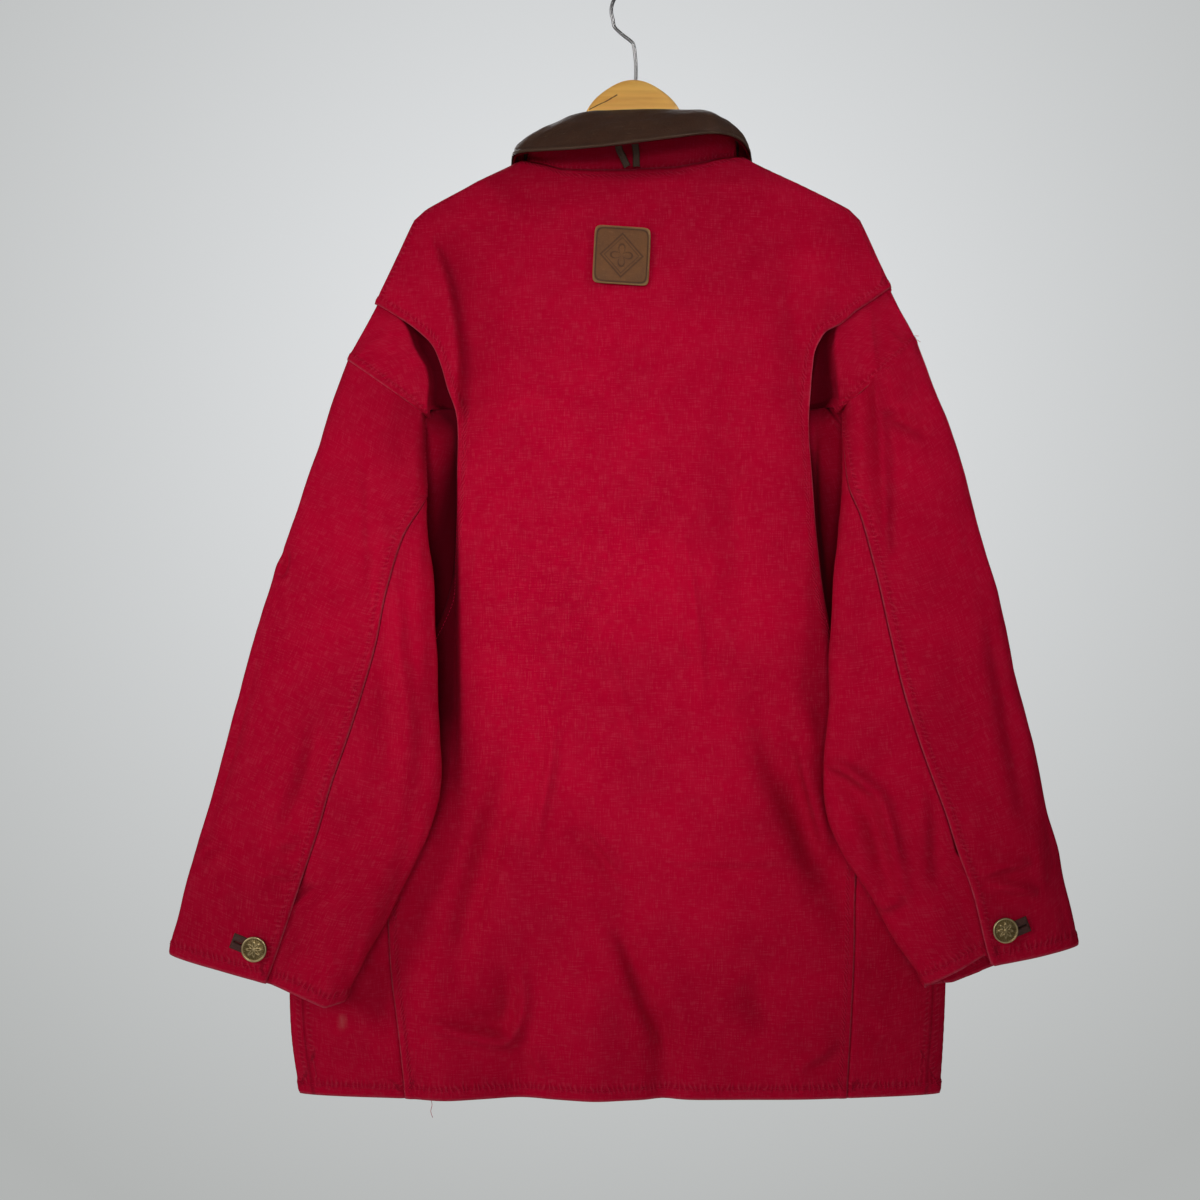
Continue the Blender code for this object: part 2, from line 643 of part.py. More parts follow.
LOOP_WALL = 1.6
loop_path = along(LOOP * (1, 1, -1), 17)
loop_side = np.cross(np.gradient(loop_path, axis=0), (0.0, 1.0, 0.0))
loop_side /= np.linalg.norm(loop_side, axis=1, keepdims=True)
loop_grid = loop_path[:, None] + loop_side[:, None] * (np.array([-0.5, 0, 0.5]) * LOOP_WIDTH)[:, None]
sheet("hang_loop", loop_grid, "collar_leather", LOOP_WALL, flip=True)

# ---- Patch: a leather square on the upper back, made from the back's own points ----
PATCH_CORNERS = np.array([[(35.3, 217.8), (-13.1, 221.3)], [(37.9, 268.0), (-10.8, 271.4)]])
OFF_CLOTH = SEAM_GAP + 0.1


patch_u, patch_v = np.meshgrid(np.linspace(0, 1, 5), np.linspace(0, 1, 5))
patch_top = PATCH_CORNERS[0, 0] + (PATCH_CORNERS[0, 1] - PATCH_CORNERS[0, 0]) * patch_u[..., None]
patch_foot = PATCH_CORNERS[1, 0] + (PATCH_CORNERS[1, 1] - PATCH_CORNERS[1, 0]) * patch_u[..., None]
patch_x, patch_down = np.moveaxis(patch_top + (patch_foot - patch_top) * patch_v[..., None], -1, 0)
patch_y = back_depth(patch_x, patch_down) + CLOTH + OFF_CLOTH
sheet("patch", np.stack([patch_x, patch_y, -patch_down], axis=-1), "patch_leather", LEATHER)

# ---- Cuffs: a bound buttonhole on each top sleeve, with the button through it ----
BUTTON = [
    # radius, height above the cloth
    (0, 0),
    (7.0, 0),
    (9.6, 0.5),
    (10.8, 1.5),
    (10.8, 2.6),
    (9.8, 3.2),
    (8.4, 2.9),
    (7.6, 2.3),
    (4.0, 2.9),
    (0, 3.4),
]
WELT = (16.0, 13.5)
WELT_WALL = 1.2


WELT_OUT = CLOTH + OFF_CLOTH + SEAM_GAP
BUTTON_OUT = WELT_OUT + OFF_CLOTH + WELT_WALL
CUFF_PLACES = {
    # name: sleeve, cuff, (row, turn) of the button, (row, turn) of the buttonhole
    "left": (SLEEVE_LEFT, CUFF_LEFT, (10.42, 1.45), (10.38, 1.287)),
    "right": (SLEEVE_RIGHT, CUFF_RIGHT, (10.5, 1.41), (10.5, 1.218)),
}


def on_sleeve(rows, cuff, row, turn):
    """A point of the sleeve with its outward, downward and sideways unit vectors."""
    step = 0.02
    here = sleeve_points(rows, cuff, row, turn)
    ahead = sleeve_points(rows, cuff, row + step, turn) - sleeve_points(rows, cuff, row - step, turn)
    aside = sleeve_points(rows, cuff, row, turn + step) - sleeve_points(rows, cuff, row, turn - step)
    ahead /= np.linalg.norm(ahead)
    out = np.cross(ahead, aside)
    out *= np.sign(out[1]) / np.linalg.norm(out)
    return here, out, ahead, np.cross(out, ahead)


for label, (rows, cuff, button_at, welt_at) in CUFF_PLACES.items():
    here, out = on_sleeve(rows, cuff, *button_at)[:2]
    turned("cuff_button_" + label, BUTTON[::-1], "brass", here + out * BUTTON_OUT, out)
    here, out, ahead, aside = on_sleeve(rows, cuff, *welt_at)
    across = np.linspace(-0.5, 0.5, 5)[None, :, None] * WELT[0] * aside
    downward = np.linspace(-0.5, 0.5, 4)[:, None, None] * WELT[1] * ahead
    sheet("cuff_welt_" + label, here + out * WELT_OUT + across + downward, "collar_leather", WELT_WALL,
          flip=np.cross(ahead, aside) @ out < 0)

# ---- Front buttons, through the overlap ----
OFF_FRONT = 0.9
for count, down in enumerate((285, 400, 515, 630, 745), start=1):
    y = float(front_depth(CENTRE, down))
    turned(f"front_button_{count}", BUTTON[::-1], "brass", (CENTRE, y - CLOTH - OFF_FRONT, -down), (0, -1, 0))

# ---- Hanger: a wooden dome with an arm along each shoulder, cut from one board ----
HANGER = np.array([
    # x, top, foot (both as down), half thickness
    (184, 212, 220, 4),
    (176, 204, 225, 6),
    (158, 194, 223, 7),
    (134, 183, 216, 7),
    (108, 173, 206, 7),
    (84, 167, 197, 7),
    (62, 154, 188, 7),
    (49, 124, 182, 7),
    (42, 107, 180, 7),
    (32, 95, 178, 7),
    (16, 84.5, 176, 7),
    (1.5, 81.2, 175, 7),
    (-13, 84.5, 176, 7),
    (-29, 95, 178, 7),
    (-39, 107, 180, 7),
    (-46, 124, 182, 7),
    (-60, 152, 188, 7),
    (-82, 165, 197, 7),
    (-106, 172, 206, 7),
    (-134, 183, 216, 7),
    (-160, 194, 223, 7),
    (-178, 204, 225, 6),
    (-186, 212, 220, 4),
])


def hanger_board():
    """The board: a ring of points round each row of the table, joined along x and closed at both ends."""
    turn = np.linspace(0, 2 * np.pi, 12, endpoint=False) + np.pi / 12
    x, top, foot, half = HANGER.T[:, :, None]
    z = -(top + foot) / 2 + (foot - top) / 2 * np.sign(np.cos(turn)) * np.abs(np.cos(turn)) ** 0.35
    y = half * np.sign(np.sin(turn)) * np.abs(np.sin(turn)) ** 0.6
    points = np.stack([x + 0 * turn, y, z], axis=-1)
    rows, columns = points.shape[:2]
    number = np.arange(rows * columns).reshape(rows, columns)
    after = np.roll(number, -1, axis=1)
    faces = np.stack([number[:-1], after[:-1], after[1:], number[1:]], axis=-1).reshape(-1, 4).tolist()
    faces += [number[0, ::-1].tolist(), number[-1].tolist()]
    mesh = bpy.data.meshes.new("hanger")
    mesh.from_pydata((points.reshape(-1, 3) * MM).tolist(), [], faces)
    return finish(bpy.data.objects.new("hanger", mesh), "wood")


WIRE = 1.6
BORE = WIRE + 0.25
BORE_HEAD = 60
BORE_FOOT = 104
hanger = hanger_board()
bore = bmesh.new()
bmesh.ops.create_cone(bore, cap_ends=True, segments=12, radius1=BORE * MM, radius2=BORE * MM,
                      depth=(BORE_FOOT - BORE_HEAD) * MM,
                      matrix=Matrix.Translation((0, 0, -(BORE_FOOT + BORE_HEAD) / 2 * MM)))
bore_mesh = bpy.data.meshes.new("hook_bore")
bore.to_mesh(bore_mesh)
bore.free()
cutter = bpy.data.objects.new("hook_bore", bore_mesh)
helpers.objects.link(cutter)
cut = hanger.modifiers.new("hook_bore", "BOOLEAN")
cut.operation = "DIFFERENCE"
cut.solver = "EXACT"
cut.object = cutter

# ---- Hook: a bent wire, its open end toward -X ----
HOOK_RADIUS = 21.0
HOOK_CENTRE = -HOOK_RADIUS + WIRE
arc = np.radians(np.arange(33, 213, 12))
hook_points = [(HOOK_RADIUS * -np.cos(a), HOOK_CENTRE + HOOK_RADIUS * np.sin(a)) for a in arc]
hook_points += [
    (18.3, -33.4), (14.6, -37.6), (9.4, -42.0), (4.6, -45.6), (1.9, -48.2), (0.9, -51.5), (0, -58), (0, -103),
]
curve = bpy.data.curves.new("hook", "CURVE")
curve.dimensions = "3D"
curve.bevel_depth = WIRE * MM
curve.bevel_resolution = 2
curve.use_fill_caps = True
wire = curve.splines.new("POLY")
wire.points.add(len(hook_points) - 1)
for point, (x, z) in zip(wire.points, hook_points):
    point.co = (x * MM, 0, z * MM, 1)
finish(bpy.data.objects.new("hook", curve), "steel")
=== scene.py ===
"""Red canvas hunting jacket seen from behind on a wooden hanger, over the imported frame.

Lengths in the tables are millimetres: x runs toward the wearer's left, y toward the viewer of the back, and
"down" is the distance below the inside top of the hanger's hook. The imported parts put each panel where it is;
this script repeats their surfaces with finer grids, then adds creases, seams, stitches and materials.
"""
import functools

import bpy
import numpy as np
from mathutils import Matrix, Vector


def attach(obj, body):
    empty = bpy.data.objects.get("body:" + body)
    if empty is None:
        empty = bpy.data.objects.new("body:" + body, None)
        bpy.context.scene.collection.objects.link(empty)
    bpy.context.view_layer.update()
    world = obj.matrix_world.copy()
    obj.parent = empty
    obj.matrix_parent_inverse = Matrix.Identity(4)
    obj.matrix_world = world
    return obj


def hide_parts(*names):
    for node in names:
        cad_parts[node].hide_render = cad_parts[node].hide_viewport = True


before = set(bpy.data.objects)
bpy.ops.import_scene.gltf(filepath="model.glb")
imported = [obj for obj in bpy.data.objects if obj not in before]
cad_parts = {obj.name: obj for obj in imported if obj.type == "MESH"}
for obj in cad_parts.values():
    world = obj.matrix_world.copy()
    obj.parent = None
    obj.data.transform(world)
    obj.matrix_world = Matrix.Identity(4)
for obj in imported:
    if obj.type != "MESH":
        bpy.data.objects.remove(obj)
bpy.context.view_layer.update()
scene = bpy.context.scene
MM = 0.001

# ---- Camera, light and floor: a level view of the back in a white photo booth ----
# The camera stands 1.5 m from the hanger on the back's side. A large soft light hangs above it on the left.
camera = bpy.data.objects.new("camera", bpy.data.cameras.new("camera"))
camera.data.lens = 50.73
camera.data.sensor_width = 36.0
camera.location = (0.031, 1.5, -0.542)
camera.rotation_euler = (np.pi / 2, 0, np.pi)
scene.collection.objects.link(camera)
scene.camera = camera
scene.view_settings.view_transform = "Standard"

LIGHTS = {
    # name: place, point aimed at, size, power, spread in degrees
    "key": ((2.3, 1.9, 0.3), (0.03, 0.0, -0.55), (0.9, 0.9), 25.5, 180),
    "right": ((-1.5, 1.3, 0.9), (-0.24, 0.0, -0.16), (0.5, 0.5), 0.36, 22),
    "fill": ((-0.1, 2.4, -0.35), (0.03, 0.0, -0.55), (1.6, 1.6), 4.2, 180),
    "front": ((0.4, -2.2, 0.5), (0.0, 0.0, -0.5), (1.6, 1.6), 30.0, 180),
}
for name, (place, aim, size, power, spread) in LIGHTS.items():
    light = bpy.data.lights.new(name, "AREA")
    light.shape = "RECTANGLE"
    light.size, light.size_y = size
    light.energy = power
    light.spread = np.radians(spread)
    lamp = bpy.data.objects.new(name, light)
    lamp.location = place
    lamp.rotation_euler = (Vector(aim) - Vector(place)).to_track_quat("-Z", "Y").to_euler()
    scene.collection.objects.link(lamp)
pool = bpy.data.lights.new("pool", "SPOT")
pool.energy = 84.0
pool.spot_size = np.radians(27)
pool.spot_blend = 1.0
pool.shadow_soft_size = 0.35
lamp = bpy.data.objects.new("pool", pool)
lamp.location = (0.12, 1.7, -0.40)
lamp.rotation_euler = (Vector((0.07, 0.0, -0.55)) - lamp.location).to_track_quat("-Z", "Y").to_euler()
scene.collection.objects.link(lamp)


def colour(code):
    """Linear colour of an sRGB code such as #a50528."""
    srgb = np.array([int(code[i:i + 2], 16) for i in (1, 3, 5)]) / 255
    linear = np.where(srgb <= 0.04045, srgb / 12.92, ((srgb + 0.055) / 1.055) ** 2.4)
    return (*linear.tolist(), 1.0)


def feed(made, inputs):
    """Sets a node's inputs, given in order or by name or number: each takes a value, or a socket to link."""
    for socket, value in inputs.items() if isinstance(inputs, dict) else enumerate(inputs):
        if isinstance(value, bpy.types.NodeSocket):
            made.id_data.links.new(value, made.inputs[socket])
        else:
            made.inputs[socket].default_value = value


def node(tree, kind, inputs=(), out=None, **settings):
    """Adds a shader node and gives one of its outputs: the named one, or else Fac, or else the first in use."""
    made = tree.nodes.new("ShaderNode" + kind)
    for name, value in settings.items():
        setattr(made, name, value)
    feed(made, inputs)
    in_use = [socket for socket in made.outputs if socket.enabled]
    return made.outputs[out] if out else next((socket for socket in in_use if socket.name == "Fac"), in_use[0])


def new_look(name):
    """A new material, its Principled shader, and the function that adds nodes to it."""
    material = bpy.data.materials.new(name)
    material.use_nodes = True
    return material, material.node_tree.nodes["Principled BSDF"], functools.partial(node, material.node_tree)


world = bpy.data.worlds.new("booth")
world.use_nodes = True
sky = world.node_tree
seen = sky.nodes["Background"]
toward = node(sky, "TexCoord", out="Generated")
spread = node(sky, "VectorMath", (toward, (0.0, -1.0, 0.12)), operation="DISTANCE")
spread = node(sky, "MapRange", (spread, 0.05, 0.52, 0.0, 1.0))
backdrop = node(sky, "Mix", {0: spread, 6: colour("#e4e6e8"), 7: colour("#b2b4b3")}, data_type="RGBA")
feed(seen, {"Color": backdrop})
glow = node(sky, "Background", {"Color": colour("#c3c5c5"), "Strength": 0.2})
seen_directly = node(sky, "LightPath", out="Is Camera Ray")
both = node(sky, "MixShader", (seen_directly, glow, seen.outputs[0]))
feed(sky.nodes["World Output"], {"Surface": both})
scene.world = world

floor_mesh = bpy.data.meshes.new("floor")
floor_mesh.from_pydata([(-2.5, -2.5, -2), (2.5, -2.5, -2), (2.5, 2.5, -2), (-2.5, 2.5, -2)], [], [(0, 1, 2, 3)])
floor = bpy.data.objects.new("floor", floor_mesh)
floor_paint, shader, _ = new_look("booth_floor")
feed(shader, {"Base Color": colour("#cacccd"), "Roughness": 0.9, "Emission Color": colour("#cacccd"),
              "Emission Strength": 0.4})
floor_mesh.materials.append(floor_paint)
scene.collection.objects.link(floor)

# ---- Back: one large panel of washed cotton canvas ----
# It is cut in one piece from the neck to the hem. Its upper side edges are free pleat edges, topstitched; lower
# down they are felled onto the side panels, and the foot is a turned hem.
CLOTH = 2.0
SECTIONS = np.array([
    # down, left, right, side, back, front, power
    (140, 88, -88, 0, 33, 24, 1.00),
    (152, 101, -107, 0, 34, 25, 1.00),
    (158, 111, -119, 0, 35, 26, 1.00),
    (170, 140, -144, 0, 36, 27, 1.00),
    (193, 185, -191, 0, 37, 30, 0.95),
    (203, 196, -200, 0, 37, 32, 0.90),
    (240, 214, -218, 0, 38, 34, 0.85),
    (277, 231, -234, 0, 38, 35, 0.75),
    (330, 238, -236, -3, 37, 36, 0.65),
    (370, 230, -222, -8, 36, 36, 0.60),
    (396, 222, -212, -11, 35, 36, 0.55),
    (420, 236, -224, -11, 34, 36, 0.52),
    (450, 252, -238, -8, 33, 36, 0.50),
    (489, 266, -250, -4, 32, 36, 0.50),
    (542, 278, -259, 0, 31, 36, 0.50),
    (630, 290, -268, 0, 30, 35, 0.50),
    (719, 297, -272, 0, 30, 34, 0.50),
    (807, 302, -274, 0, 30, 33, 0.50),
    (884, 305, -274, 0, 29, 32, 0.50),
    (931, 303, -272, 0, 27, 30, 0.50),
    (978, 296, -269, 0, 24, 28, 0.50),
])
BACK_FOLDS = [
    # from x, from down, to x, to down, half width, height (troughs are negative)
    (-112, 640, -176, 800, 20, -9),
    (-150, 650, -166, 760, 9, 5),
    (108, 660, 156, 860, 17, -6),
    (50, 730, 4, 800, 15, -5),
    (14, 825, -32, 940, 15, -5),
    (172, 880, 168, 978, 24, 8),
    (104, 890, 100, 978, 26, -9),
    (34, 880, 34, 978, 22, 5),
    (-24, 920, -24, 978, 14, -7),
    (-110, 880, -150, 978, 40, 3),
    (-136, 250, -150, 380, 14, -4),
    (136, 250, 150, 380, 14, -3),
]
VALLEY = np.array([
    # down, depth of the valley that each sleeve presses into the back
    (290, 0),
    (360, 8),
    (400, 20),
    (430, 17),
    (480, 14),
    (600, 12),
    (720, 8),
    (820, 2),
    (880, 0),
])
SHOULDERS_AND_BACK_NECK = [
    (231, 279), (196, 205), (185, 195), (140, 170.5), (111, 157), (101, 151.5),
    (87, 157), (65, 166), (40, 168.3), (7, 169), (-36, 166), (-60, 160), (-76, 154.5), (-96, 150),
    (-118, 160.5), (-144, 172), (-190, 195), (-200, 205), (-227.5, 264.5),
]
BACK_EDGE_LEFT = [
    (231, 279), (212, 291), (192, 305), (177, 320), (170, 336), (164, 357), (157, 377), (155, 400),
    (156, 430), (161, 491), (170, 542), (190, 590), (206, 640), (215, 700), (217, 772), (214, 862),
    (207, 920), (201, 978),
]
BACK_EDGE_RIGHT = [
    (-227.5, 264.5), (-208, 279), (-192, 290), (-179, 301), (-166, 308), (-158, 322), (-155, 340),
    (-153, 362), (-152, 400), (-154, 431), (-159, 491), (-166, 542), (-180, 590), (-190, 640),
    (-195, 700), (-194, 772), (-191, 856), (-185, 977),
]
BACK_CREASES = [
    # half width, height of the ridge (a trough when negative), points of (x, down)
    (5, 1.6, [(69, 644), (74, 682), (85, 741), (87, 767)]),
    (13, -2.5, [(107, 674), (120, 730), (139, 799), (154, 852)]),
    (5, 1.8, [(50, 734), (29, 754), (8, 781)]),
    (7, -1.8, [(15, 826), (0, 868), (-11, 897), (-29, 934)]),
    (7, 3.0, [(104, 857), (97, 884), (101, 910), (112, 924), (140, 921), (189, 907)]),
    (6, 1.4, [(90, 932), (77, 959)]),
    (16, -2.2, [(-106, 651), (-141, 730), (-173, 794)]),
    (6, 2.0, [(-143, 664), (-168, 762)]),
    (14, -2.0, [(-95, 868), (-121, 916)]),
    (6, 1.4, [(-141, 947), (-178, 929)]),
    (5, 0.9, [(-21, 767), (-141, 769)]),
    (16, -1.8, [(141, 441), (141, 627)]),
    (20, -2.0, [(-83, 322), (-88, 484), (-96, 600)]),
    (6, 1.0, [(95, 184), (20, 181), (-92, 183)]),
    (4, 0.8, [(30, 560), (8, 640), (-6, 690)]),
    (5, 0.9, [(-40, 480), (-52, 560), (-60, 640)]),
]
BACK_STEPS = [
    # side that drops (1 toward +X), drop, reach over which it comes back, rounding, points of (x, down)
    (-1, 15.0, 45, 4.0, [(180, 222), (172, 243), (166, 261), (158, 302), (155, 332), (156, 368), (153, 396)]),
    (1, 9.0, 45, 8.0, [(-180, 218), (-174, 238), (-165, 281), (-161, 321), (-153, 361), (-153, 392)]),
]
PLEATS = {
    # side: rows of down, x where the cloth turns in, depth of the pleat
    1: np.array([(380, 154, 0), (400, 154, 9), (440, 153, 16), (520, 152, 16), (620, 150, 12), (700, 148, 5),
                 (760, 147, 0)]),
    -1: np.array([(350, 154, 0), (400, 156, 10), (470, 158, 15), (540, 164, 13), (600, 170, 7), (650, 173, 0)]),
}
STITCH_IN = 6.5
HEM_IN = 10.5
HEM_ROWS_APART = 1.8
LEFT, RIGHT, TOP, FOOT = range(4)
HEM_LINES = [(FOOT, HEM_IN), (FOOT, HEM_IN - HEM_ROWS_APART)]


def within(value):
    """The value held between 0 and 1."""
    return np.clip(value, 0, 1)


def points_at(x, y, down):
    """Points from their x, y and distance below the hook's top."""
    return np.stack([x, y, -down], axis=-1)


def direction(vectors):
    """The vectors divided by their lengths."""
    return vectors / np.linalg.norm(vectors, axis=-1, keepdims=True)


def run_along(points):
    """Distance from the first point to each one along a polyline."""
    return np.concatenate([[0], np.cumsum(np.linalg.norm(np.diff(points, axis=0), axis=1))])


def bell(distance, width):
    """exp(-(distance / width)^2): 1 at no distance, and gone at about two widths."""
    return np.exp(-((distance / width) ** 2))


def smooth(at, knots, values):
    """Cubic curve through a table's rows, with slopes taken from the neighbouring rows."""
    knots = np.asarray(knots, float)
    values = np.asarray(values, float)
    at = np.clip(at, knots[0], knots[-1])
    slopes = np.gradient(values, knots, axis=0)
    row = np.clip(np.searchsorted(knots, at, side="right") - 1, 0, len(knots) - 2)
    step = knots[row + 1] - knots[row]
    t = (at - knots[row]) / step
    if values.ndim > 1:
        t = t[..., None]
        step = step[..., None]
    start = (1 + 2 * t) * (1 - t) ** 2 * values[row] + t * (1 - t) ** 2 * step * slopes[row]
    end = t * t * (3 - 2 * t) * values[row + 1] + t * t * (t - 1) * step * slopes[row + 1]
    return start + end


def along(points, shares):
    """Points of a polyline at the given shares of its length."""
    points = np.asarray(points, float)
    run = run_along(points)
    return smooth(np.asarray(shares) * run[-1], run, points)


def folds(table, x, down):
    """Sum of broad folds: each one fades off across its line and toward its ends."""
    total = np.zeros(np.shape(x))
    for x0, d0, x1, d1, half_width, height in table:
        line = np.array([x1 - x0, d1 - d0], float)
        length = np.linalg.norm(line)
        share = ((x - x0) * line[0] + (down - d0) * line[1]) / length**2
        across = ((x - x0) * line[1] - (down - d0) * line[0]) / length
        beyond = np.clip(np.abs(share - 0.5) - 0.5, 0, None) * length
        total += height * np.exp(-((across / half_width) ** 2) - (beyond / (1.5 * half_width)) ** 2)
    return total


def section(x, down):
    """How near the middle each point is (1 at the middle, 0 on the edge), with the section's columns."""
    columns = smooth(down, SECTIONS[:, 0], SECTIONS[:, 1:])
    left, right, side, back, front, power = np.moveaxis(columns, -1, 0)
    across = np.clip((x - (left + right) / 2) / ((left - right) / 2), -1, 1)
    return 1 - across**2, side, back, front, power


def back_depth(x, down):
    """Depth of the back: side + (back - side) * inside^power, with the folds and valleys laid over it."""
    x, down = np.broadcast_arrays(np.asarray(x, float), np.asarray(down, float))
    inside, side, back, front, power = section(x, down)
    valley = smooth(down, VALLEY[:, 0], VALLEY[:, 1]) * bell(np.abs(x - 6) - 188, 34)
    rest = (folds(BACK_FOLDS, x, down) - valley) * np.sqrt(inside)
    return side + (back - side) * inside**power + rest


def from_line(line, x, down):
    """Signed distance from a polyline (positive toward +X of one that runs down), and the share along it."""
    points = along(line, np.linspace(0, 1, 4 * len(line)))
    steps = np.diff(points, axis=0)
    lengths = np.linalg.norm(steps, axis=1)
    run = run_along(points)
    best = np.full(x.shape, 1e6)
    share = np.zeros(x.shape)
    for (px, pd), (sx, sd), length, start in zip(points, steps, lengths, run):
        t = within(((x - px) * sx + (down - pd) * sd) / length**2)
        dx = x - px - t * sx
        dd = down - pd - t * sd
        distance = np.hypot(dx, dd)
        nearer = distance < np.abs(best)
        best = np.where(nearer, distance * np.where(dx * sd - dd * sx < 0, -1, 1), best)
        share = np.where(nearer, (start + t * length) / run[-1], share)
    return best, share


def drops(table, x, down):
    """Sum of folds that step down on one side: -drop * (1 - exp(-s/rounding)) * exp(-s/reach) past the line."""
    total = np.zeros(x.shape)
    for side, drop, reach, rounding, line in table:
        distance, share = from_line(line, x, down)
        past = np.clip(side * distance, 0, None)
        taper = within(np.minimum(share, 1 - share) / 0.12)
        total -= drop * taper * (1 - np.exp(-past / rounding)) * np.exp(-past / reach)
    return total


def pleat(x, down):
    """Depth of the open pleats beside the sleeves: the cloth turns in past a line and comes back beneath them."""
    total = np.zeros(x.shape)
    for side, table in PLEATS.items():
        line = smooth(down, table[:, 0], table[:, 1])
        past = within((side * x - line) / 13)
        back_out = within((side * x - 205) / 30)
        total -= smooth(down, table[:, 0], table[:, 2]) * past * past * (3 - 2 * past) * (1 - back_out)
    return total


def creases(table, x, down):
    """Sum of creases, each a ridge height * exp(-(s/w)^2) at distance s from its line, beside a softer trough.

    A crease dies out toward both of its ends.
    """
    total = np.zeros(x.shape)
    for width, height, line in table:
        best, share = from_line(line, x, down)
        taper = np.sin(np.pi * share) ** 0.7
        ridge = bell(best, width)
        beside = bell(best - 1.8 * width, 1.4 * width)
        total += height * taper * (ridge - 0.45 * beside)
    return total


def rumple(x, down, size, seed):
    """Smooth random relief from -1 to 1: values on a seeded lattice of the given size, blended between."""
    lattice = np.random.default_rng(seed).uniform(-1, 1, (97, 97))
    u = np.asarray(x) / size + 40
    v = np.asarray(down) / size + 7
    i, j = np.floor(u).astype(int), np.floor(v).astype(int)
    fu, fv = u - i, v - j
    fu, fv = fu * fu * (3 - 2 * fu), fv * fv * (3 - 2 * fv)
    i, j = i % 96, j % 96
    top = lattice[i, j] * (1 - fu) + lattice[i + 1, j] * fu
    foot = lattice[i, j + 1] * (1 - fu) + lattice[i + 1, j + 1] * fu
    return top * (1 - fv) + foot * fv


def spans(grid):
    """Distance of each point from the first and last column, and from the first and last row, along the cloth."""
    across = np.linalg.norm(np.diff(grid, axis=1), axis=2)
    across = np.concatenate([np.zeros((len(grid), 1)), np.cumsum(across, axis=1)], axis=1)
    drop = np.linalg.norm(np.diff(grid, axis=0), axis=2)
    drop = np.concatenate([np.zeros((1, grid.shape[1])), np.cumsum(drop, axis=0)], axis=0)
    return across, across[:, -1:] - across, drop, drop[-1:] - drop


def lap(distance, reach, height):
    """Raised layers of a felled seam or a hem: flat to the stitches, gone a little past them, rounded at 0."""
    inner = within((reach + 2.0 - distance) / 2.5)
    edge = within(1 - distance / 1.2)
    return height * inner * inner * (3 - 2 * inner) - 0.7 * edge**2


def drawn_in(distance):
    """A sewn edge drawn down to the line that it shares with its neighbour, over the last 3 mm."""
    return -0.97 * CLOTH * within(1 - distance / 3.0) ** 2


def pucker(distance, run, reach, height, seed):
    """Small gathers across a stitched line: a wave of about 9 mm whose length and depth wander along the seam."""
    wander = rumple(run, run * 0, 31, seed) * 2.6 + rumple(run, run * 0, 11, seed + 1) * 1.2
    strength = 0.65 + 0.35 * rumple(run, run * 0, 47, seed + 2)
    return height * strength * np.sin(2 * np.pi * run / 9.2 + wander) * bell(distance - reach, 5.5)


def stitched(distance, run, reach, height, gathers, seed):
    """The raised layers of a seam or hem, with small gathers across its stitches."""
    return lap(distance, reach, height) + pucker(distance, run, reach, gathers, seed)


def facing(grid, flip):
    """Unit normals of a grid whose rows run down and columns toward -X; flip turns them round."""
    normal = np.cross(np.gradient(grid, axis=0), np.gradient(grid, axis=1))
    normal /= np.maximum(np.linalg.norm(normal, axis=2, keepdims=True), 1e-9)
    return -normal if flip else normal


def smooth_mesh(name, points, faces):
    """A smooth-shaded mesh from points in millimetres."""
    mesh = bpy.data.meshes.new(name)
    mesh.from_pydata((points * MM).tolist(), [], faces)
    mesh.polygons.foreach_set("use_smooth", np.ones(len(faces), bool))
    return mesh


def put(name, node_name, data, look):
    """Adds an object that rides the one body. It has a slot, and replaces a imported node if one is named."""
    data.materials.append(look)
    obj = bpy.data.objects.new(name, data)
    scene.collection.objects.link(obj)
    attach(obj, "root")
    if node_name:
        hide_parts(node_name)
    return obj


def shell(name, node_name, points, look, wall, flip=False, fields=(), uv=None, ring=False, capped=False):
    """Object from a grid of points with a wall, float attributes by name, and map coordinates in millimetres.

    On a ring the last column is the first one again, so the two are joined; caps close its first and last row.
    """
    rows, columns = points.shape[:2]
    number = np.arange(rows * columns).reshape(rows, columns)
    quads = np.stack([number[:-1, :-1], number[1:, :-1], number[1:, 1:], number[:-1, 1:]], axis=-1)
    quads = quads.reshape(-1, 4)
    if flip:
        quads = quads[:, ::-1]
    if ring:
        number[:, -1] = number[:, 0]
    kept, joined = np.unique(number, return_inverse=True)
    joined = joined.reshape(rows, columns)
    faces = joined.reshape(-1)[quads].tolist()
    if capped:
        way = 1 if flip else -1
        faces += [joined[0, :-1][::-way].tolist(), joined[-1, :-1][::way].tolist()]
    mesh = smooth_mesh(name, points.reshape(-1, 3)[kept], faces)
    if uv is not None:
        layer = mesh.uv_layers.new(name="cut")
        layer.data.foreach_set("uv", uv.reshape(-1, 2)[quads.reshape(-1)].astype(np.float32).reshape(-1))
    for field, values in dict(fields).items():
        mesh.attributes.new(field, "FLOAT", "POINT").data.foreach_set(
            "value", values.reshape(-1)[kept].astype(np.float32))
    obj = put(name, node_name, mesh, look)
    if wall:
        solid = obj.modifiers.new("wall", "SOLIDIFY")
        solid.thickness = wall * MM
        solid.offset = -1
    return obj


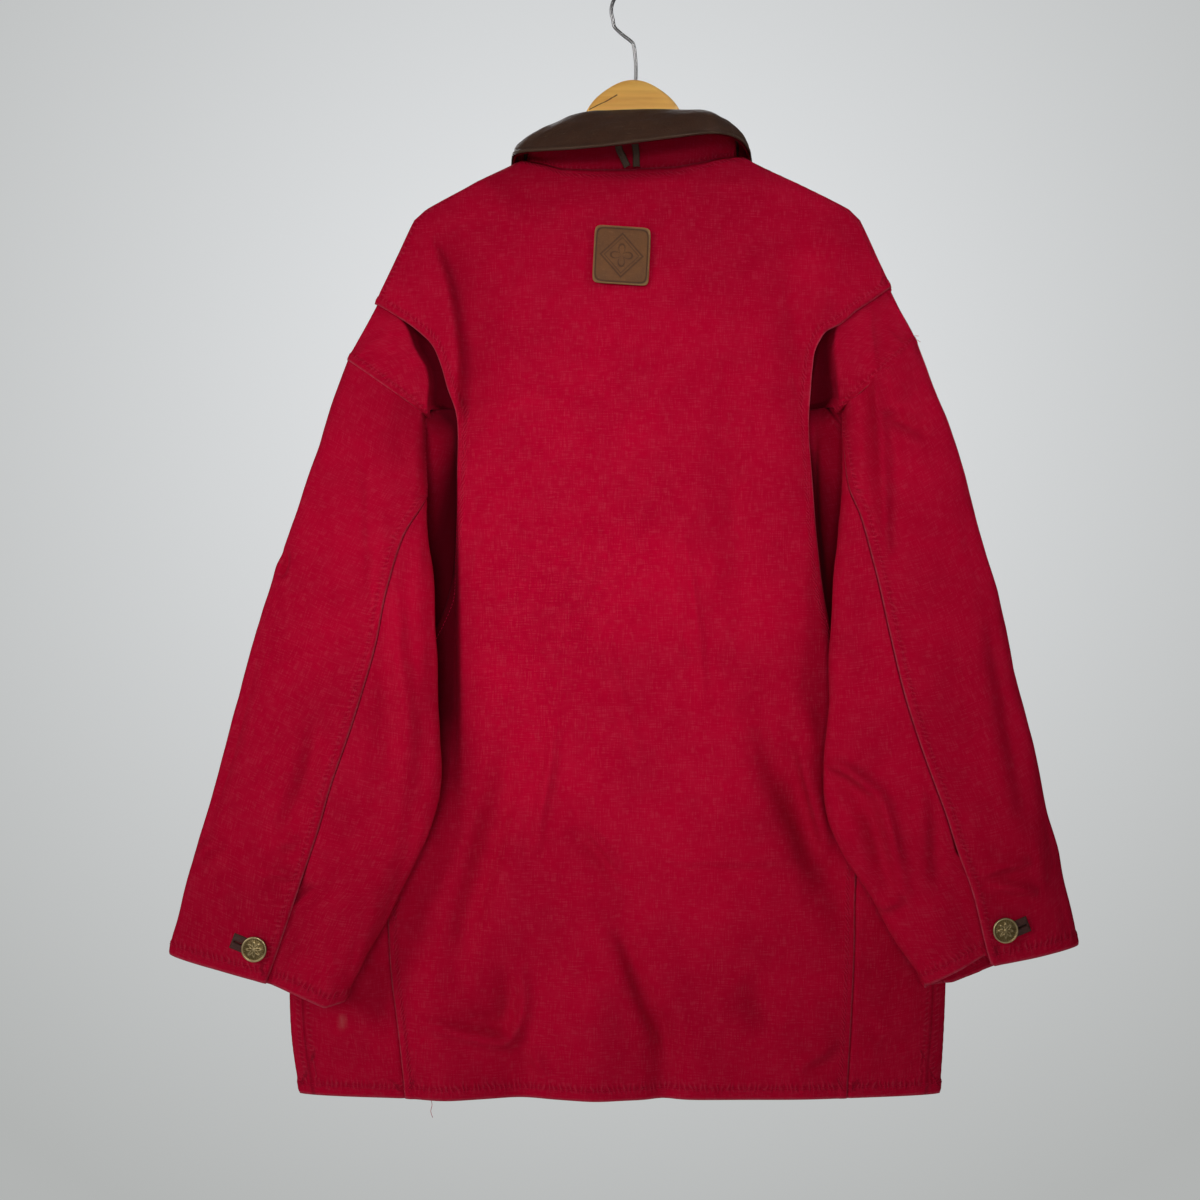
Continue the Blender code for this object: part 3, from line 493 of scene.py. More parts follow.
def canvas(name, dyed, deep, faded):
    """Washed cotton canvas: plain weave of 0.6 mm in colour and bump, cloudy dye, pale wear on sewn edges, a stain
    where set, painted shade in stitch grooves, gather hollows and marked recesses, and pale gather crests that are
    partly wear and partly painted highlight.
    """
    material, shader, add = new_look(name)
    # The fourth attribute is painted shade: it darkens the cloth in pleats, beside the sleeves, in the vents and
    # under the collar.
    run, seam, painted_shade, stain = (add("Attribute", attribute_name=mark) for mark in ("run", "seam", "painted_shade", "stain"))
    cut = add("UVMap", uv_map="cut")
    place = add("TexCoord", out="Object")
    yarn = {"Vector": cut, "Scale": 0.52, "Distortion": 0.9, "Detail": 2.0, "Detail Scale": 0.8}
    warp, weft = (add("TexWave", yarn, bands_direction=way) for way in "XY")
    weave = add("Math", (warp, weft), operation="MAXIMUM")
    stretched = (add("Mapping", {"Vector": cut, "Scale": size}) for size in ((0.85, 0.09, 1.0), (0.09, 0.85, 1.0)))
    warp_slub, weft_slub = (add("TexNoise", {"Vector": way, "Scale": 1.0, "Detail": 2.0}) for way in stretched)
    slubs = add("Math", (warp_slub, weft_slub), operation="ADD")
    slubs = add("Math", (slubs, 0.5), operation="MULTIPLY")
    clouds = add("TexNoise", {"Vector": place, "Scale": 9.0, "Detail": 6.0, "Roughness": 0.62})
    mottle = add("TexNoise", {"Vector": place, "Scale": 75.0, "Detail": 6.0, "Roughness": 0.78})
    patchy = add("TexNoise", {"Vector": cut, "Scale": 0.16, "Detail": 4.0, "Roughness": 0.7})
    patchy = add("MapRange", (patchy, 0.35, 0.65, 0.2, 0.8))
    worn = add("MapRange", (seam, 1.7, 0.3, 0.0, 1.0))
    worn = add("Math", (worn, patchy), operation="MULTIPLY")
    # Gathers are a wandering wave along the stitches, seen only near them.
    wander = add("TexNoise", {"Vector": cut, "Scale": 0.09, "Detail": 2.0})
    along_seam = add("Math", (run, 1.35), operation="MULTIPLY")
    gather = add("Math", (wander, 14.0, along_seam), operation="MULTIPLY_ADD")
    gather = add("Math", {0: gather}, operation="SINE")
    near_stitch = add("MapRange", (seam, 3.0, 6.0, 0.0, 1.0))
    off_stitch = add("MapRange", (seam, 7.2, 11.0, 1.0, 0.0))
    uneven = add("MapRange", (patchy, 0.0, 0.7, 0.3, 1.0))
    for share in (near_stitch, off_stitch, uneven):
        gather = add("Math", (gather, share), operation="MULTIPLY")
    # Painted shade: a darker band in the groove along each stitch line.
    painted_groove_shade = add("MapRange", (seam, 4.5, 6.4, 0.0, 0.35))
    past = add("MapRange", (seam, 6.6, 8.8, 1.0, 0.0))
    painted_groove_shade = add("Math", (painted_groove_shade, past), operation="MULTIPLY")
    cloudy = add("MapRange", (clouds, 0.35, 0.68, 0.0, 0.55))
    mottle = add("MapRange", (mottle, 0.42, 0.75, 0.0, 0.13))
    speck = add("MapRange", (slubs, 0.50, 0.62, 0.0, 0.24))
    # Painted shade in the gathers' hollows; their crests turn paler, partly from wear and partly as painted
    # highlight.
    painted_hollow_shade = add("MapRange", (gather, -0.2, -1.0, 0.0, 0.32))
    crest_wear_and_highlight = add("MapRange", (gather, 0.2, 1.0, 0.0, 0.4))
    base = colour(dyed)
    # Tints in turn: random cloudy dye, mottle and slub specks; painted shade in stitch grooves and gather hollows;
    # gather crests paler, partly wear and partly painted highlight; real wear on sewn edges; painted shade from the
    # attribute; a real stain.
    for share, tint in ((cloudy, deep), (mottle, faded), (speck, faded), (painted_groove_shade, deep), (painted_hollow_shade, deep),
                        (crest_wear_and_highlight, faded), (worn, "#bd4a5c"), (painted_shade, "#2a0005"), (stain, "#b08078")):
        base = add("Mix", {0: share, 6: base, 7: colour(tint)}, data_type="RGBA")
    threads = add("MapRange", (weave, 0.3, 1.0, 0.80, 1.04))
    base = add("VectorMath", {0: base, 3: threads}, operation="SCALE")
    normal = {}
    for height, distance, strength in ((weave, 0.0001, 0.5), (slubs, 0.00025, 0.5), (gather, 0.0004, 0.6)):
        normal = {"Normal": add("Bump", {"Height": height, "Distance": distance, "Strength": strength, **normal})}
    rough = add("MapRange", (slubs, 0.3, 0.7, 0.82, 0.95))
    feed(shader, {**normal, "Base Color": base, "Roughness": rough, "Specular IOR Level": 0.03,
                  "Sheen Weight": 0.015, "Sheen Roughness": 0.55, "Sheen Tint": colour("#e07a8c")})
    return material


RED = canvas("red_canvas", "#b8012c", "#980022", "#c23a50")
# A darker copy of the red canvas, used for painted shade on the under-collar beneath the leaf.
SHADED_RED = canvas("red_canvas_shaded", "#94001f", "#720017", "#a01c34")


def thread_look(name, code):
    """Twisted polyester thread: fine diagonal ply in colour, slight gloss."""
    material, shader, add = new_look(name)
    ply = add("TexNoise", {"Vector": add("TexCoord", out="Object"), "Scale": 2600.0, "Detail": 2.0})
    dark = tuple(0.8 * c for c in colour(code)[:3]) + (1.0,)
    base = add("Mix", {0: ply, 6: dark, 7: colour(code)}, data_type="RGBA")
    bump = add("Bump", {"Height": ply, "Distance": 0.0002, "Strength": 0.4})
    feed(shader, {"Base Color": base, "Normal": bump, "Roughness": 0.8, "Specular IOR Level": 0.05})
    return material


RED_THREAD = thread_look("red_thread", "#c4103a")


def cut_size(name, grid):
    """Flat width, length and area in metres: a grid's longest row, its longest column and its cells' area."""
    left, _, top, _ = spans(grid)
    cells = np.linalg.norm(np.cross(grid[1:, :-1] - grid[:-1, :-1], grid[:-1, 1:] - grid[:-1, :-1]), axis=2).sum()
    width, length = left[:, -1].max(), top[-1].max()
    print("cut", name, round(width), round(length), round(cells))
    return width * MM, length * MM, cells * MM * MM


def inside_line(grid, distance, far):
    """The line on a grid that lies at a distance (from spans) of far from an edge, one point a row."""
    order = 1 if distance[0, -1] > distance[0, 0] else -1
    return np.array([[np.interp(far, d[::order], p[::order, axis]) for axis in range(3)]
                     for d, p in zip(distance, grid)])


def stitch_lines(outer, normal, lines):
    """Points and normals of lines on a panel, each given as an edge and its distance from that edge."""
    made = []
    for edge, far in lines:
        distance, grids = spans(outer)[edge], [outer, normal]
        if edge in (TOP, FOOT):
            distance, grids = distance.T, [grid.swapaxes(0, 1) for grid in grids]
        made.append([inside_line(grid, distance, far) for grid in grids])
    return made


def stitches(name, runs, pitch=3.3, length=2.3, radius=0.26):
    """Red thread: for each stitch along runs of (points, normals), a four-sided bead closed at both ends."""
    turn = np.linspace(0, 2 * np.pi, 4, endpoint=False)
    profile = np.array([(-0.5, 0.3), (-0.26, 1.0), (0.26, 1.0), (0.5, 0.3)])
    bead = len(profile) * len(turn)
    all_points, all_faces, count = [], [], 0
    for points, normals in runs:
        run = run_along(points)
        at = np.arange(pitch / 2, run[-1] - pitch / 2, pitch)
        if not len(at):
            continue
        centre, up, before, past = (
            np.stack([np.interp(where, run, values[:, axis]) for axis in range(3)], axis=-1)
            for where, values in ((at, points), (at, normals), (at - 1, points), (at + 1, points)))
        ahead = direction(past - before)
        side = direction(np.cross(ahead, up))
        up = np.cross(side, ahead)
        ring = (profile[None, :, None, 0, None] * length * ahead[:, None, None]
                + profile[None, :, None, 1, None] * radius
                * (np.cos(turn)[None, None, :, None] * side[:, None, None]
                   + 0.75 * np.sin(turn)[None, None, :, None] * up[:, None, None]))
        ring = ring + centre[:, None, None] + up[:, None, None] * 0.12
        stitch = np.arange(len(at) * bead).reshape(len(at), len(profile), len(turn)) + count
        after = np.roll(stitch, -1, axis=2)
        faces = np.stack([stitch[:, :-1], stitch[:, 1:], after[:, 1:], after[:, :-1]], axis=-1)
        all_points.append(ring.reshape(-1, 3))
        all_faces += faces.reshape(-1, 4).tolist() + stitch[:, 0].tolist() + stitch[:, -1, ::-1].tolist()
        count += len(at) * bead
    return put(name, None, smooth_mesh(name, np.concatenate(all_points), all_faces), RED_THREAD)


def strand(name, line, radius, look, node_name=None, points=24):
    """A round wire or thread bent along a line of points."""
    curve = bpy.data.curves.new(name, "CURVE")
    curve.dimensions = "3D"
    curve.bevel_depth = radius * MM
    curve.bevel_resolution = 5
    curve.use_fill_caps = True
    spline = curve.splines.new("POLY")
    fine = along(line, np.linspace(0, 1, points))
    spline.points.add(len(fine) - 1)
    spline.points.foreach_set("co", np.concatenate([fine * MM, np.ones((len(fine), 1))], axis=1).reshape(-1))
    spline.use_smooth = True
    return put(name, node_name, curve, look)


def sewn(name, node_name, grid, relief, seam, thread=None, lines=(), look=RED, flip=False,
         wall=1.7, lift=CLOTH, marks=(), grain=None, ring=False):
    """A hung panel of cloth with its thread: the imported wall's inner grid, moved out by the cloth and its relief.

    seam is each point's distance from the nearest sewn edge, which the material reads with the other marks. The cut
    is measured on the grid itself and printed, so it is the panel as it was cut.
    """
    normal = facing(grid, flip)
    outer = grid + normal * (lift + relief)[..., None]
    left, right, top, foot = spans(grid)
    run = np.where(np.minimum(left, right) < np.minimum(top, foot * STITCH_IN / HEM_IN), top, left)
    uv = np.stack([left - left[:, -1:] / 2, top], axis=-1) if grain is None else grain
    fields = {"seam": seam, "run": run, **dict(marks)}
    piece = shell(name, node_name, outer, look, wall, flip, fields, uv, ring)
    width, length, area = cut_size(name, grid)
    threads = [stitches(thread, stitch_lines(outer, normal, lines))] if thread else []


SIDE_TOP = 398
HEM = 978
SIDE_ROWS = np.linspace(SIDE_TOP, HEM, 196)
UPPER_ROWS = 62
UPPER_SHARE = 12 / 30
FINE = np.linspace(0, 1, 1200)


def edge_points(edge):
    """Points of the back's edge: the rows above the side panel's top, then the rows that the two share."""
    fine = along(edge, FINE)
    start = int(np.argmax(fine[:, 1] >= SIDE_TOP - 1))
    upper = fine[np.linspace(0, start, UPPER_ROWS + 1).round().astype(int)[:-1]]
    lower = np.stack([np.interp(SIDE_ROWS, fine[start - 1:, 1], fine[start - 1:, 0]), SIDE_ROWS], axis=-1)
    return np.concatenate([upper, lower])


back_left = edge_points(BACK_EDGE_LEFT)
back_right = edge_points(BACK_EDGE_RIGHT)
row_share = np.interp(np.arange(len(back_left)), [0, UPPER_ROWS, len(back_left) - 1], [0, UPPER_SHARE, 1])
even = np.linspace(0, 1, 150)
u = 0.55 * even + 0.45 * (0.5 - 0.5 * np.cos(np.pi * even))
x = back_left[:, :1] + (back_right[:, :1] - back_left[:, :1]) * u
down = back_left[:, 1:] + (back_right[:, 1:] - back_left[:, 1:]) * u
top_line = np.array(sorted(SHOULDERS_AND_BACK_NECK), float)
bow = np.interp(x[0], top_line[:, 0], top_line[:, 1]) - down[0]
down = down + (within(1 - row_share / 0.5) ** 2)[:, None] * bow
back_grid = points_at(x, back_depth(x, down), down)
on_shoulder = within((np.abs(x[0] - 3) - 98) / 12)
back_grid[0] += on_shoulder[:, None] * (0.0, -1.3, -0.7)
left, right, top, foot = spans(back_grid)
seam = np.minimum.reduce([left, right, top, foot * STITCH_IN / HEM_IN])
relief = 3.3 * creases(BACK_CREASES, x, down) + 1.8 * rumple(x, down, 62, 3) + 0.6 * rumple(x, down, 23, 4)
relief *= np.clip(np.minimum.reduce([left, right, top, foot]) / 22, 0.12, 1)
relief += pleat(x, down) + drops(BACK_STEPS, x, down)
for edge, seed in ((left, 11), (right, 21)):
    relief += stitched(edge, down, STITCH_IN, 0.7, 0.28, seed)
relief += pucker(top, x, STITCH_IN, 0.2, 31) + drawn_in(top)
relief += stitched(foot, x, HEM_IN, 0.9, 0.42, 41)
# Painted shade on the back: darker where the cloth turns in beside each sleeve, and in a band just past the left
# cape's fold ridge.
edge_in = np.where(x > 0, np.interp(down, [400, 440, 700, 760], [160, 152, 150, 160]), 0)
edge_in = np.where(x > 0, edge_in, np.interp(down, [400, 440, 540, 640, 700], [162, 154, 158, 170, 176]))
window = within((down - 400) / 40) * within((np.where(x > 0, 760, 690) - down) / 120)
painted_shade = 0.84 * within((np.abs(x) - edge_in) / 13) * window
past_fold, share = from_line(BACK_STEPS[0][4], x, down)
past_fold = np.clip(-past_fold, 0, None)
painted_shade += 0.42 * within(past_fold / 3) * np.exp(-past_fold / 14) * within(np.minimum(share, 1 - share) / 0.15)
loose_end = strand("loose_hem_thread", [(179, 19, -979), (178, 20, -984), (179, 21, -989), (177.5, 20, -995)],
                   0.22, RED_THREAD)
sewn("back_panel", "back", back_grid, relief, seam, "back_thread",
     [(LEFT, STITCH_IN), (RIGHT, STITCH_IN), *HEM_LINES], marks={"painted_shade": painted_shade},
     grain=np.stack([-x, down], axis=-1))

# ---- Side panels: narrow panels of the same canvas from the back seam round to the side seam ----
# Above the waist each one tucks beneath the back's free edge; the action pleat opens there.
TUCK = np.array([
    # down, reach beneath the back's edge, drop beneath it
    (380, 12, 4.6),
    (550, 12, 4.6),
    (590, -0.3, 4.4),
    (650, -0.3, 0),
    (1000, -0.3, 0),
])
ARMPIT = 374
SIDE_CREASES = [
    # half width, height, points of (x, down)
    (7, 1.6, [(214, 520), (226, 600), (232, 700)]),
    (9, -1.8, [(250, 560), (262, 660), (262, 760)]),
    (6, 1.2, [(222, 880), (246, 902), (286, 896)]),
    (6, 1.3, [(-204, 540), (-214, 640), (-218, 740)]),
    (9, -1.6, [(-238, 600), (-244, 700), (-246, 800)]),
    (6, 1.0, [(-200, 900), (-224, 918), (-258, 908)]),
]


def side_panel(label, back_edge, side):
    """Grid of a side panel: x follows half * cos(angle) from the seam's angle to 0 at the side seam."""
    rows = np.concatenate([np.linspace(ARMPIT, SIDE_TOP, 10)[:-1], SIDE_ROWS])
    seam_x = np.interp(rows, *np.flip(along(back_edge, FINE).T[:, 200:], axis=0))
    outline = smooth(rows, SECTIONS[:, 0], SECTIONS[:, 1 if side > 0 else 2])
    outline -= side * 34 * within((SIDE_TOP - rows) / (SIDE_TOP - ARMPIT))
    middle = smooth(rows, SECTIONS[:, 0], (SECTIONS[:, 1] + SECTIONS[:, 2]) / 2)
    start = seam_x - side * np.interp(rows, TUCK[:, 0], TUCK[:, 1])
    drop = np.interp(rows, TUCK[:, 0], TUCK[:, 2])
    half = np.abs(outline - middle)
    first = np.arccos(within(np.abs(start - middle) / half))
    even = np.linspace(1, 0, 46)
    x = middle[:, None] + side * half[:, None] * np.cos(first[:, None] * even)
    down = np.broadcast_to(rows[:, None], x.shape)
    y = back_depth(x, down) - drop[:, None] * within((even - 0.45) / 0.4)
    grid = points_at(x, y, down)
    grid[:, 0] += (rows > 600)[:, None] * (-0.9 * side, -1.2, 0.0)
    left, right, top, foot = spans(grid)
    relief = 1.4 * creases(SIDE_CREASES, x, down)
    relief = relief + 0.9 * rumple(x, down, 50, 61 + side) + 0.4 * rumple(x, down, 20, 64)
    relief *= np.clip(np.minimum.reduce([left, right, foot]) / 18, 0.05, 1)
    relief += stitched(foot, x, HEM_IN, 0.9, 0.42, 71 + side)
    relief += 0.5 * pucker(left, down, STITCH_IN, 0.3, 81 + side) + pucker(right, down, STITCH_IN, 0.3, 83 + side)
    relief += pleat(x, down) + drops(BACK_STEPS, x, down) + drawn_in(right)
    seam = np.minimum(np.abs(right - 16) + 1.7, foot * STITCH_IN / HEM_IN)
    # Painted shade on the side panel: darker in its upper part where the sleeve shades it, and a dark line along the
    # stitching 16 mm from the side seam.
    painted_shade = 0.88 * within((np.interp(side * x, [190, 225], [760, 640]) - down) / 110)
    painted_shade = painted_shade * within((y - 2) / 8) + 0.4 * bell(right - 16, 1.4)
    stain = 0.2 * np.exp(-(((x - 257) / 2.9) ** 4) - (((down - 912) / 6) ** 4))
    sewn("side_panel_" + label, "side_" + label, grid, relief, seam, "side_thread_" + label,
         HEM_LINES, flip=side > 0, marks={"painted_shade": painted_shade, "stain": stain})


side_panel("left", BACK_EDGE_LEFT, 1)
side_panel("right", BACK_EDGE_RIGHT, -1)

# ---- Fronts: two canvas panels from shoulder to hem that overlap 34 mm at the buttons, left over right ----
# They are hidden from the photograph's side, so they are plain, with the same seams, hem and soft creases.
FRONT_FOLDS = [
    (120, 330, 150, 700, 26, 5),
    (-110, 360, -160, 760, 24, 6),
    (70, 640, 110, 978, 22, 6),
    (-60, 700, -90, 978, 24, -6),
    (180, 760, 200, 978, 24, -7),
    (-190, 720, -180, 978, 22, 5),
]
CENTRE = 7
OVERLAP = 17
FACING = 30.0
EDGE_STITCH = 5.0
FRONT_UPPER_ROWS = 40
FRONT_UPPER_SHARE = 8 / 26
FRONT_HOLE = {
    1: [(231, 279), (212, 290), (190, 306), (174, 328), (168, 350), (174, 372), (196, 390)],
    -1: [(-227.5, 264.5), (-208, 280), (-188, 298), (-172, 322), (-166, 348), (-171, 371), (-190, 389)],
}
FRONT_NECK = {
    1: [(101, 151.5), (97, 175), (84, 202), (60, 224), (34, 234), (CENTRE - OVERLAP, 238)],
    -1: [(-96, 150), (-92, 172), (-76, 202), (-50, 224), (-20, 234), (CENTRE + OVERLAP, 238)],
}
SHOULDER = {
    1: [(231, 279), (196, 205), (185, 195), (140, 170.5), (111, 157)],
    -1: [(-227.5, 264.5), (-200, 205), (-190, 195), (-144, 172), (-118, 160.5)],
}
FRONT_CREASES = [
    # half width, height, points of (x, down)
    (7, 1.8, [(150, 250), (128, 320), (116, 420)]),
    (9, -2.0, [(60, 520), (84, 640), (120, 760)]),
    (6, 1.6, [(200, 640), (150, 700), (90, 730)]),
    (8, 2.2, [(230, 860), (170, 890), (110, 880)]),
    (7, 1.7, [(-140, 240), (-124, 330), (-112, 410)]),
    (8, -2.0, [(-70, 500), (-100, 600), (-124, 720)]),
    (6, 1.5, [(-190, 600), (-140, 660), (-80, 680)]),
    (9, 2.0, [(-220, 850), (-150, 900), (-80, 890)]),
]


def front_depth(x, down):
    """Depth of the front: side - (front + side) * inside^power, with the folds laid over it."""
    x, down = np.broadcast_arrays(np.asarray(x, float), np.asarray(down, float))
    inside, side, back, front, power = section(x, down)
    return side - (front + side) * inside**power - folds(FRONT_FOLDS, x, down) * np.sqrt(inside)


def front_panel(label, side, drop):
    """Grid of a front between its outer edge (armhole, then side seam) and its button edge."""
    hole, neck = FRONT_HOLE[side], FRONT_NECK[side]
    outline = smooth(SIDE_ROWS, SECTIONS[:, 0], SECTIONS[:, 1 if side > 0 else 2]) - side * 0.02
    upper = along(hole + [(outline[0], SIDE_TOP)], np.linspace(0, 1, FRONT_UPPER_ROWS + 1))[:-1]
    outer = np.concatenate([upper, np.stack([outline, SIDE_ROWS], axis=-1)])
    shares = np.interp(np.arange(len(outer)), [0, FRONT_UPPER_ROWS, len(outer) - 1], [0, FRONT_UPPER_SHARE, 1])
    inner = np.stack([np.full(len(outer), CENTRE - side * OVERLAP), neck[-1][1] + (HEM - neck[-1][1]) * shares],
                     axis=-1)
    reach = within((outer[:, 1] - 340) / (SIDE_TOP - 340))[:, None]
    even = np.linspace(0, 1, 76)
    u = (1 - reach) * (0.6 * even + 0.4 * (0.5 - 0.5 * np.cos(np.pi * even)))
    u = u + reach * (1 - np.cos(np.pi / 2 * even**0.8))
    x = outer[:, :1] + (inner[:, :1] - outer[:, :1]) * u
    down = outer[:, 1:] + (inner[:, 1:] - outer[:, 1:]) * u
    top_line = np.asarray(sorted(SHOULDER[side] + neck), float)
    bow = np.interp(x[0], top_line[:, 0], top_line[:, 1]) - down[0]
    down = down + (within(1 - shares / 0.45) ** 2)[:, None] * bow
    y = front_depth(x, down)
    y = y + drop * within((OVERLAP + 75 - side * (x - CENTRE)) / 50)
    grid = points_at(x, y, down)
    grid[FRONT_UPPER_ROWS + 1:, 0] += (-0.9 * side, 1.3, 0.0)
    left, right, top, foot = spans(grid)
    relief = 2.0 * creases(FRONT_CREASES, x, down)
    relief = relief + 1.8 * rumple(x, down, 58, 101 + side) + 0.5 * rumple(x, down, 21, 104)
    relief *= np.clip(np.minimum.reduce([left, right, top, foot]) / 22, 0.05, 1)
    relief += stitched(foot, x, HEM_IN, 0.9, 0.4, 111 + side)
    relief += stitched(left, down, STITCH_IN, 0.4, 0.28, 113 + side)
    relief += lap(right, FACING, 0.5) + pucker(right, down, EDGE_STITCH, 0.15, 115 + side) + lap(top, STITCH_IN, 0.5)
    relief += drawn_in(top) + drawn_in(left) * within((down - SIDE_TOP) / 10)
    seam = np.minimum.reduce([left, right, top, foot * STITCH_IN / HEM_IN])
    sewn("front_panel_" + label, "front_" + label, grid, relief, seam, "front_thread_" + label,
         [(LEFT, STITCH_IN), (RIGHT, EDGE_STITCH), (RIGHT, FACING), *HEM_LINES], flip=side > 0)


front_panel("left", 1, 0.0)
front_panel("right", -1, CLOTH + 0.9)

# ---- Sleeves: a top and an under sleeve of canvas each, joined by an elbow seam and a front seam ----
# "seam" is the elbow seam's place across the sleeve, 0 at the outer edge and 1 at the inner edge.
SLEEVE_LEFT = np.array([
    # outer x, down, inner x, down, depth of the middle, half depth, seam
    (250, 326, 188, 371, 2, 18, 1.04),
    (263.5, 369, 186, 413, 20, 17, 1.02),
    (277, 420, 183, 454, 34, 18, 1.00),
    (293, 471, 182, 493, 40, 18, 0.84),
    (309, 520, 177, 541, 44, 18, 0.73),
    (325, 571, 173, 588, 47, 18, 0.68),
    (340, 628, 172, 636, 49, 19, 0.62),
    (357, 692, 168, 698, 50, 19, 0.53),
    (368, 731, 176, 738, 50, 19, 0.52),
    (381, 774, 200, 785, 50, 19, 0.54),
    (389, 809, 222, 831, 50, 18, 0.55),
    (398, 845, 251, 885, 50, 17, 0.575),
])
SLEEVE_RIGHT = np.array([
    # outer x, down, inner x, down, depth of the middle, half depth, seam
    (-246, 312, -186, 365, 2, 18, 1.03),
    (-258, 355, -183, 402, 19, 17, 1.00),
    (-273, 400, -180, 446, 33, 18, 0.957),
    (-284, 446, -176, 480, 39, 18, 0.84),
    (-295, 492, -171, 532, 43, 18, 0.73),
    (-310, 542, -168, 575, 46, 18, 0.68),
    (-324, 607, -166, 628, 48, 19, 0.62),
    (-339, 671, -162, 679, 50, 19, 0.54),
    (-351, 718, -165, 722, 50, 19, 0.49),
    (-360, 751, -177, 755, 50, 19, 0.49),
    (-365, 786, -209, 805, 50, 18, 0.51),
    (-377, 837, -249, 871, 50, 17, 0.60),
])
CUFF_LEFT = np.array([
    # place across, drop of the near hem, drop of the far hem
    (0.0, 0, 0),
    (0.3, -1, -2),
    (0.6, -1, -3),
    (0.75, 3, -2),
    (0.9, 8, 0),
    (1.0, 0, 0),
])
CUFF_RIGHT = np.array([
    # place across, drop of the near hem, drop of the far hem
    (0.0, 0, 0),
    (0.3, -2, 2),
    (0.59, -5, 6),
    (0.62, -17, 7),
    (0.8, -8, 9),
    (1.0, 0, 3),
])
VENT_ROWS = 2.35
VENT_LAP = 0.17
FRONT_SEAM = 0.86
SEAM_GAP = 0.3
FRONT_SEAM_GAP = 0.18
HALF_DEPTH = 18
SLEEVE_CREASES = [
    # half width, height, points of (x, down), on the side that faces the camera
    (6, 1.4, [(376, 768), (364, 754), (347, 747)]),
    (6, 1.4, [(307, 748), (284, 744)]),
    (5, 1.5, [(314, 771), (286, 776)]),
    (10, -2.0, [(322, 571), (338, 627), (355, 690), (375, 759)]),
    (4, -2.2, [(302, 498), (301, 512), (304, 524)]),
    (9, 1.8, [(214, 470), (206, 560), (196, 660), (200, 720)]),
    (8, -1.8, [(268, 640), (282, 700), (300, 740)]),
    (6, 2.2, [(-161, 682), (-186, 690), (-204, 706), (-213, 730), (-220, 762), (-229, 796)]),
    (8, -1.5, [(-172, 702), (-194, 726), (-206, 760), (-215, 790)]),
    (6, -1.5, [(-253, 690), (-254, 787)]),
    (5, 2.2, [(-162, 679), (-180, 687), (-200, 706)]),
    (5, 1.8, [(-207, 804), (-227, 794)]),
    (5, 1.6, [(-289, 776), (-298, 771), (-334, 763)]),
    (5, 1.6, [(-296, 782), (-341, 790)]),
    (8, -2.2, [(-219, 379), (-251, 398)]),
    (6, 2.2, [(-212, 330), (-212, 420), (-212, 508)]),
    (9, -1.6, [(-300, 560), (-318, 650), (-330, 730)]),
]
SLEEVE_STEPS = [
    # side that drops, drop, reach, rounding, points of (x, down), on the side that faces the camera
    (-1, 5.0, 40, 5.0, [(-208, 280), (-210, 340), (-212, 420), (-213, 520)]),
    (-1, 2.5, 16, 2.5, [(238, 420), (232, 500), (226, 580)]),
]
SLEEVE_HIDDEN_CREASES = [
    # half width, height, points of (x, down), on the side that faces the front
    (7, 1.8, [(240, 470), (280, 540), (300, 610)]),
    (8, -2.0, [(210, 600), (260, 660), (330, 690)]),
    (6, 1.8, [(250, 800), (310, 780), (370, 790)]),
    (7, 1.8, [(-230, 450), (-266, 530), (-290, 600)]),
    (8, -2.0, [(-200, 610), (-250, 650), (-310, 680)]),
    (6, 1.7, [(-240, 790), (-300, 770), (-350, 775)]),
]


def sleeve_points(rows, cuff, row, turn):
    """Points of a sleeve. row counts down the table; turn is 0 outside, pi inside, and past pi in front."""
    row, turn = np.broadcast_arrays(np.asarray(row, float), np.asarray(turn, float))
    ox, od, ix, idn, depth, half, _ = np.moveaxis(smooth(row, np.arange(len(rows)), rows), -1, 0)
    across = (1 - np.cos(turn)) / 2
    x = ox + (ix - ox) * across
    down = od + (idn - od) * across
    y = depth + half * np.sign(np.sin(turn)) * np.abs(np.sin(turn)) ** 0.85
    near = np.interp(across, cuff[:, 0], cuff[:, 1])
    far = np.interp(across, cuff[:, 0], cuff[:, 2])
    low = within(row - (len(rows) - 2)) ** 2
    down = down + low * np.where(np.sin(turn) > 0, near, far)
    return points_at(x, y, down)


def outward(points, rows, row):
    """Unit vectors from the sleeve's middle line to each point, across the sleeve."""
    middle = smooth(row, np.arange(len(rows)), rows)
    centre = np.stack([(middle[..., 0] + middle[..., 2]) / 2, middle[..., 4],
                       -(middle[..., 1] + middle[..., 3]) / 2], axis=-1)
    away = points - centre
    away[..., 1] *= 4
    return direction(away)


